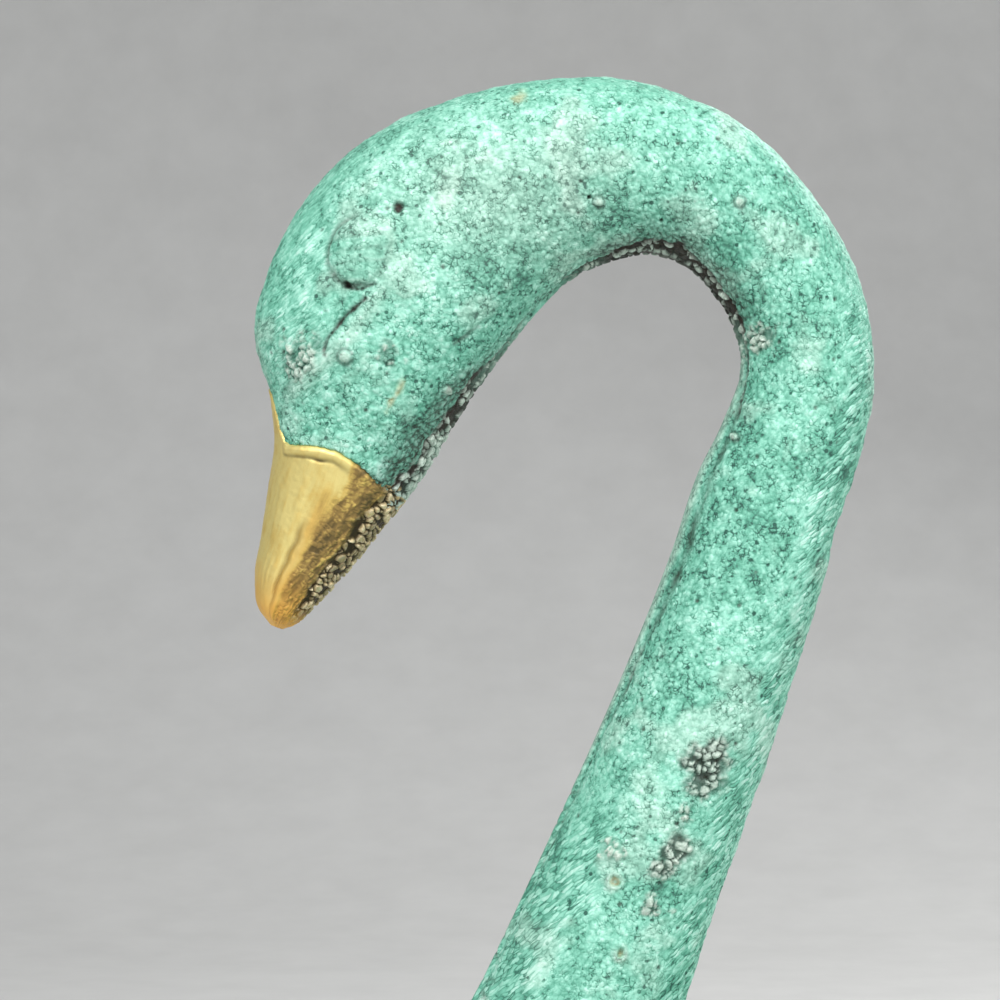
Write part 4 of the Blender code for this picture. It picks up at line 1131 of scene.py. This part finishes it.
class Graph:
    """A small helper that adds and links shader nodes. Colours are given as screen values from 0 to 255."""

    def __init__(self, name):
        self.material = bpy.data.materials.new(name)
        self.material.use_nodes = True
        self.tree = self.material.node_tree
        self.shader = self.tree.nodes["Principled BSDF"]
        self.place = self.add("ShaderNodeTexCoord").outputs["Object"]

    def feed(self, node, values):
        """Links outputs to a node's sockets, and sets the sockets that have a plain value."""
        for socket, value in values.items():
            if isinstance(value, bpy.types.NodeSocket):
                self.tree.links.new(value, node.inputs[socket])
            else:
                node.inputs[socket].default_value = value

    def add(self, kind, values=None, **settings):
        node = self.tree.nodes.new(kind)
        for key, value in settings.items():
            setattr(node, key, value)
        self.feed(node, values or {})
        return node

    def mark(self, name):
        return self.add("ShaderNodeAttribute", attribute_name=name).outputs["Fac"]

    def noise(self, scale, detail=3.0, roughness=0.6, distortion=0.0, place=None, output="Fac"):
        node = self.add("ShaderNodeTexNoise", {
            "Vector": self.place if place is None else place,
            "Scale": scale,
            "Detail": detail,
            "Roughness": roughness,
            "Distortion": distortion,
        })
        return node.outputs[output]

    def wandering(self, scale, amount):
        """The object's own place, shifted a little here and there."""
        swirl = self.noise(scale, 2.0, 0.5, output="Color")
        values = {0: swirl, 1: (amount, amount, amount), 2: self.place}
        return self.add("ShaderNodeVectorMath", values, operation="MULTIPLY_ADD").outputs[0]

    def grains(self, scale, place):
        """Grains on a place: 1 at the middle of each, 1 in the crevices, and each one's own number."""
        values = {"Vector": place, "Scale": scale}
        middle = self.add("ShaderNodeTexVoronoi", values, feature="F1")
        edge = self.add("ShaderNodeTexVoronoi", values, feature="DISTANCE_TO_EDGE")
        dome = self.spread(middle.outputs["Distance"], 1.0, 0.0, 0.10, 0.75)
        crevice = self.spread(edge.outputs["Distance"], 1.0, 0.0, 0.01, 0.13)
        own = self.spread(middle.outputs["Color"], 0.0, 1.0, 0.25, 0.75)
        return dome, crevice, own

    def lines(self, value, half_width):
        """1 on thin curved lines, where a value crosses its middle."""
        away = self.math("ABSOLUTE", self.math("SUBTRACT", value, 0.5), 0.0)
        return self.spread(away, 1.0, 0.0, 0.0, half_width)

    def drawn_out(self, slant, size, place):
        """A place drawn out along a slant in the x-z plane, so that one unit there is the given size."""
        values = {"Vector": place, "Rotation": (0.0, -slant, 0.0), "Scale": size}
        return self.add("ShaderNodeMapping", values, vector_type="TEXTURE").outputs["Vector"]

    def sum(self, parts, start):
        """A weighted sum of several outputs."""
        total = start
        for value, weight in parts:
            values = {0: value, 1: weight, 2: total}
            total = self.add("ShaderNodeMath", values, operation="MULTIPLY_ADD").outputs[0]
        return total

    def math(self, operation, first, second):
        return self.add("ShaderNodeMath", {0: first, 1: second}, operation=operation).outputs[0]

    def times(self, first, second):
        return self.math("MULTIPLY", first, second)

    def blend(self, factor, first, second):
        values = {"Factor": factor, 2: first, 3: second}
        return self.add("ShaderNodeMix", values, data_type="FLOAT").outputs[0]

    def ramp(self, factor, *stops):
        node = self.add("ShaderNodeValToRGB", {"Fac": factor})
        elements = node.color_ramp.elements
        while len(elements) < len(stops):
            elements.new(0.5)
        for element, (position, colour) in zip(elements, stops):
            element.position = position
            element.color = linear(*colour)
        return node.outputs["Color"]

    def mix(self, factor, base, other):
        """A colour with another output or a plain colour mixed in."""
        values = {"Factor": factor, 6: base, 7: linear(*other) if isinstance(other, tuple) else other}
        return self.add("ShaderNodeMix", values, data_type="RGBA").outputs[2]

    def spread(self, factor, low, high, start=0.0, end=1.0):
        values = {"Value": factor, "From Min": start, "From Max": end, "To Min": low, "To Max": high}
        return self.add("ShaderNodeMapRange", values).outputs["Result"]

    def bump(self, height, strength, distance):
        values = {"Height": height, "Strength": strength, "Distance": distance}
        return self.add("ShaderNodeBump", values).outputs["Normal"]

    def finish(self, **values):
        """Gives the shader its colour, roughness and the like, and returns the material."""
        self.feed(self.shader, {name.replace("_", " ").title(): value for name, value in values.items()})
        return self.material


def verdigris():
    graph = Graph("verdigris")
    fine = graph.noise(3000.0)
    broad = graph.noise(150.0, 3.0, 0.55)
    blotch = graph.noise(420.0, 2.0, 0.5, 0.8)
    loose = graph.spread(graph.noise(560.0, 2.0, 0.5), 0.0, 1.0, 0.38, 0.58)
    broken = graph.spread(graph.noise(1500.0, 1.0, 0.5), 0.0, 1.0, 0.44, 0.58)
    dome, crevice, own = graph.grains(1500.0, graph.wandering(1100.0, 0.0010))
    strokes = graph.drawn_out(STROKE_SLANT, (0.0020, 0.0010, 0.00036), graph.wandering(700.0, 0.0006))
    ridge, slit, ridge_own = graph.grains(1.0, strokes)
    pit, _, pit_own = graph.grains(780.0, graph.place)
    sparse = graph.spread(pit_own, 0.0, 1.0, 0.66, 0.76)
    pit = graph.times(graph.spread(pit, 0.0, 1.0, 0.78, 0.90), sparse)
    open_crevice = graph.times(crevice, graph.times(loose, broken))
    open_slit = graph.times(slit, loose)
    open_worm = graph.times(graph.lines(graph.noise(1100.0, 1.0, 0.5, 1.6), 0.030), loose)
    relief = graph.mark("relief")
    grainy = ((relief, 0.28), (dome, 0.20), (own, 0.16), (open_crevice, -0.46), (open_worm, -0.36))
    stroked = ((relief, 0.20), (ridge, 0.16), (ridge_own, 0.48), (open_slit, -0.42))
    level = graph.blend(graph.mark("stroked"), graph.sum(grainy, 0.10), graph.sum(stroked, 0.0))
    level = graph.sum(((level, 1.0), (fine, 0.40), (broad, 0.75), (blotch, 0.70), (pit, -0.38)), -0.78)
    colour = graph.ramp(
        level,
        (0.02, (40, 90, 77)),
        (0.27, (88, 163, 138)),
        (0.50, (128, 199, 175)),
        (0.73, (162, 224, 203)),
        (1.00, (208, 245, 232)),
    )
    plain_green = graph.ramp(level, (0.1, (70, 142, 119)), (0.5, (112, 190, 163)), (0.9, (150, 220, 195)))
    cream = graph.ramp(level, (0.05, (116, 148, 134)), (0.8, (214, 236, 221)))
    # Dark seam metal and pits, and painted shade: in the seam's bend and fringe, under the feathers and
    # beside the nodules.
    soot_and_shade = graph.ramp(fine, (0.3, (8, 7, 5)), (0.7, (50, 39, 25)))
    chalk = graph.ramp(fine, (0.3, (164, 184, 168)), (0.7, (226, 240, 228)))
    tarnish = graph.ramp(fine, (0.3, (168, 140, 88)), (0.7, (212, 180, 116)))
    colour = graph.mix(graph.times(graph.mark("smooth"), 0.6), colour, plain_green)
    # Pale verdigris wash, and painted highlights on the feathers' rims and shafts and on the crown.
    colour = graph.mix(graph.times(graph.mark("wash_and_highlight"), 0.75), colour, cream)
    for mark, layer in (("dark", soot_and_shade), ("glint", chalk), ("gold", tarnish)):
        colour = graph.mix(graph.mark(mark), colour, layer)
    grain_bump = graph.sum(((dome, 0.8), (open_crevice, -0.5), (open_worm, -0.4)), 0.0)
    stroke_bump = graph.sum(((ridge, 0.8), (slit, -0.4)), 0.0)
    bumps = graph.blend(graph.mark("stroked"), grain_bump, stroke_bump)
    bumps = graph.sum(((bumps, 1.0), (fine, 0.35), (pit, -0.8)), 0.0)
    return graph.finish(
        base_color=colour,
        roughness=graph.spread(level, 0.66, 0.48),
        normal=graph.bump(bumps, 0.6, 0.00016),
    )


def bare_brass():
    graph = Graph("bare_brass")
    fine = graph.noise(2200.0, 4.0)
    broad = graph.noise(240.0)
    drawn = graph.drawn_out(BILL_SLANT, (0.0050, 0.0006, 0.0005), graph.place)
    brushed = graph.noise(1.0, 2.0, 0.5, place=drawn)
    tone = graph.sum(((graph.mark("tone"), 1.0), (broad, 0.30), (fine, 0.25), (brushed, 0.35)), -0.45)
    colour = graph.ramp(
        tone,
        (0.0, (232, 214, 138)),
        (0.30, (220, 190, 106)),
        (0.62, (158, 130, 74)),
        (1.0, (106, 90, 54)),
    )
    crumb = graph.ramp(fine, (0.3, (196, 172, 118)), (0.7, (240, 228, 194)))
    colour = graph.mix(graph.times(graph.mark("orange"), 0.6), colour, (226, 182, 98))
    colour = graph.mix(graph.times(graph.mark("tip"), 0.8), colour, (246, 186, 86))
    colour = graph.mix(graph.mark("dark"), colour, (46, 38, 26))
    colour = graph.mix(graph.mark("glint"), colour, crumb)
    return graph.finish(
        base_color=colour,
        metallic=0.6,
        roughness=graph.spread(fine, 0.40, 0.60),
        normal=graph.bump(graph.sum(((fine, 0.6), (brushed, 0.8)), 0.0), 0.4, 0.00012),
    )


def plated_steel():
    graph = Graph("plated_steel")
    fine = graph.noise(1800.0, 4.0)
    return graph.finish(
        base_color=graph.ramp(fine, (0.3, (150, 148, 142)), (0.7, (192, 190, 184))),
        metallic=1.0,
        roughness=graph.spread(fine, 0.28, 0.45),
        normal=graph.bump(fine, 0.1, 0.0001),
    )


def felt():
    graph = Graph("felt")
    fine = graph.noise(2400.0, 6.0, 0.75)
    return graph.finish(
        base_color=graph.ramp(fine, (0.3, (22, 46, 34)), (0.72, (58, 92, 70))),
        roughness=0.95,
        sheen_weight=0.3,
        normal=graph.bump(fine, 0.6, 0.0003),
    )


def pale_floor():
    graph = Graph("pale_floor")
    faint = graph.ramp(graph.noise(40.0), (0.3, (204, 204, 202)), (0.7, (210, 210, 208)))
    return graph.finish(base_color=faint, roughness=0.9)


def stage():
    """A pale floor that curves up behind the swan."""
    flat_end = BACKDROP_DISTANCE - BACKDROP_BEND
    line = [(-FLOOR_HALF_WIDTH, 0.0), (flat_end, 0.0)]
    for turn in np.linspace(0.0, math.pi / 2, BACKDROP_STEPS)[1:]:
        y = flat_end + BACKDROP_BEND * math.sin(turn)
        z = BACKDROP_BEND - BACKDROP_BEND * math.cos(turn)
        line.append((y, z))
    line.append((BACKDROP_DISTANCE, BACKDROP_HEIGHT))
    points = [(x, y, z) for y, z in line for x in (-FLOOR_HALF_WIDTH, FLOOR_HALF_WIDTH)]
    faces = [(2 * k, 2 * k + 1, 2 * k + 3, 2 * k + 2) for k in range(len(line) - 1)]
    mesh = bpy.data.meshes.new("floor")
    mesh.from_pydata(points, [], faces)
    mesh.shade_smooth()
    mesh.materials.append(pale_floor())
    floor = bpy.data.objects.new("floor", mesh)
    bpy.context.scene.collection.objects.link(floor)


def lights():
    for name, place, size, power in LAMPS:
        data = bpy.data.lights.new(name, "AREA")
        data.shape = "DISK"
        data.size = size
        data.energy = power
        made = bpy.data.objects.new(name, data)
        made.location = place
        made.rotation_euler = (Vector(LAMP_AIM) - Vector(place)).to_track_quat("-Z", "Y").to_euler()
        bpy.context.scene.collection.objects.link(made)
    world = bpy.data.worlds.new("studio")
    world.use_nodes = True
    sky = world.node_tree.nodes["Background"].inputs
    sky["Color"].default_value = SKY_COLOUR
    sky["Strength"].default_value = SKY_STRENGTH
    bpy.context.scene.world = world


def camera():
    data = bpy.data.cameras.new("camera")
    data.sensor_width = 36.0
    data.lens = data.sensor_width * VIEW_DISTANCE / VIEW_WIDTH
    data.clip_start = 0.01
    made = bpy.data.objects.new("camera", data)
    made.location = (VIEW_CENTRE[0], -VIEW_DISTANCE, VIEW_CENTRE[1])
    made.rotation_euler = (math.pi / 2, 0.0, 0.0)
    bpy.context.scene.collection.objects.link(made)
    bpy.context.scene.camera = made


bpy.context.scene.view_settings.view_transform = "Standard"
stage()
lights()
camera()
GREEN = verdigris()
BRASS = bare_brass()
STEEL = plated_steel()
FELT = felt()
for side_name, side_sign in (("left", -1), ("right", 1)):
    neck_skin(f"neck_{side_name}_skin", side_sign, GREEN)
    body_skin(f"body_{side_name}_skin", side_sign, GREEN)
    feathered_skin(
        f"wing_{side_name}_skin", f"wing_{side_name}", WING_VOXEL, GREEN, WING_SEED + side_sign,
        wing_place, wing_feathers(), WING_THICKNESS, (0.0, side_sign, 0.0),
    )
feathered_skin(
    "tail_skin", "tail_fan", TAIL_VOXEL, GREEN, TAIL_SEED,
    tail_place, tail_feathers(), TAIL_THICKNESS, (0.0, 0.0, 1.0),
)
bill_skin("bill_skin", BRASS)
felt_skin("felt_skin", FELT)
for node_name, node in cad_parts.items():
    if node_name.startswith(("neck_foot", "neck_stud", "neck_washer", "neck_nut")) or "screw" in node_name:
        node.data.materials.clear()
        node.data.materials.append(STEEL)
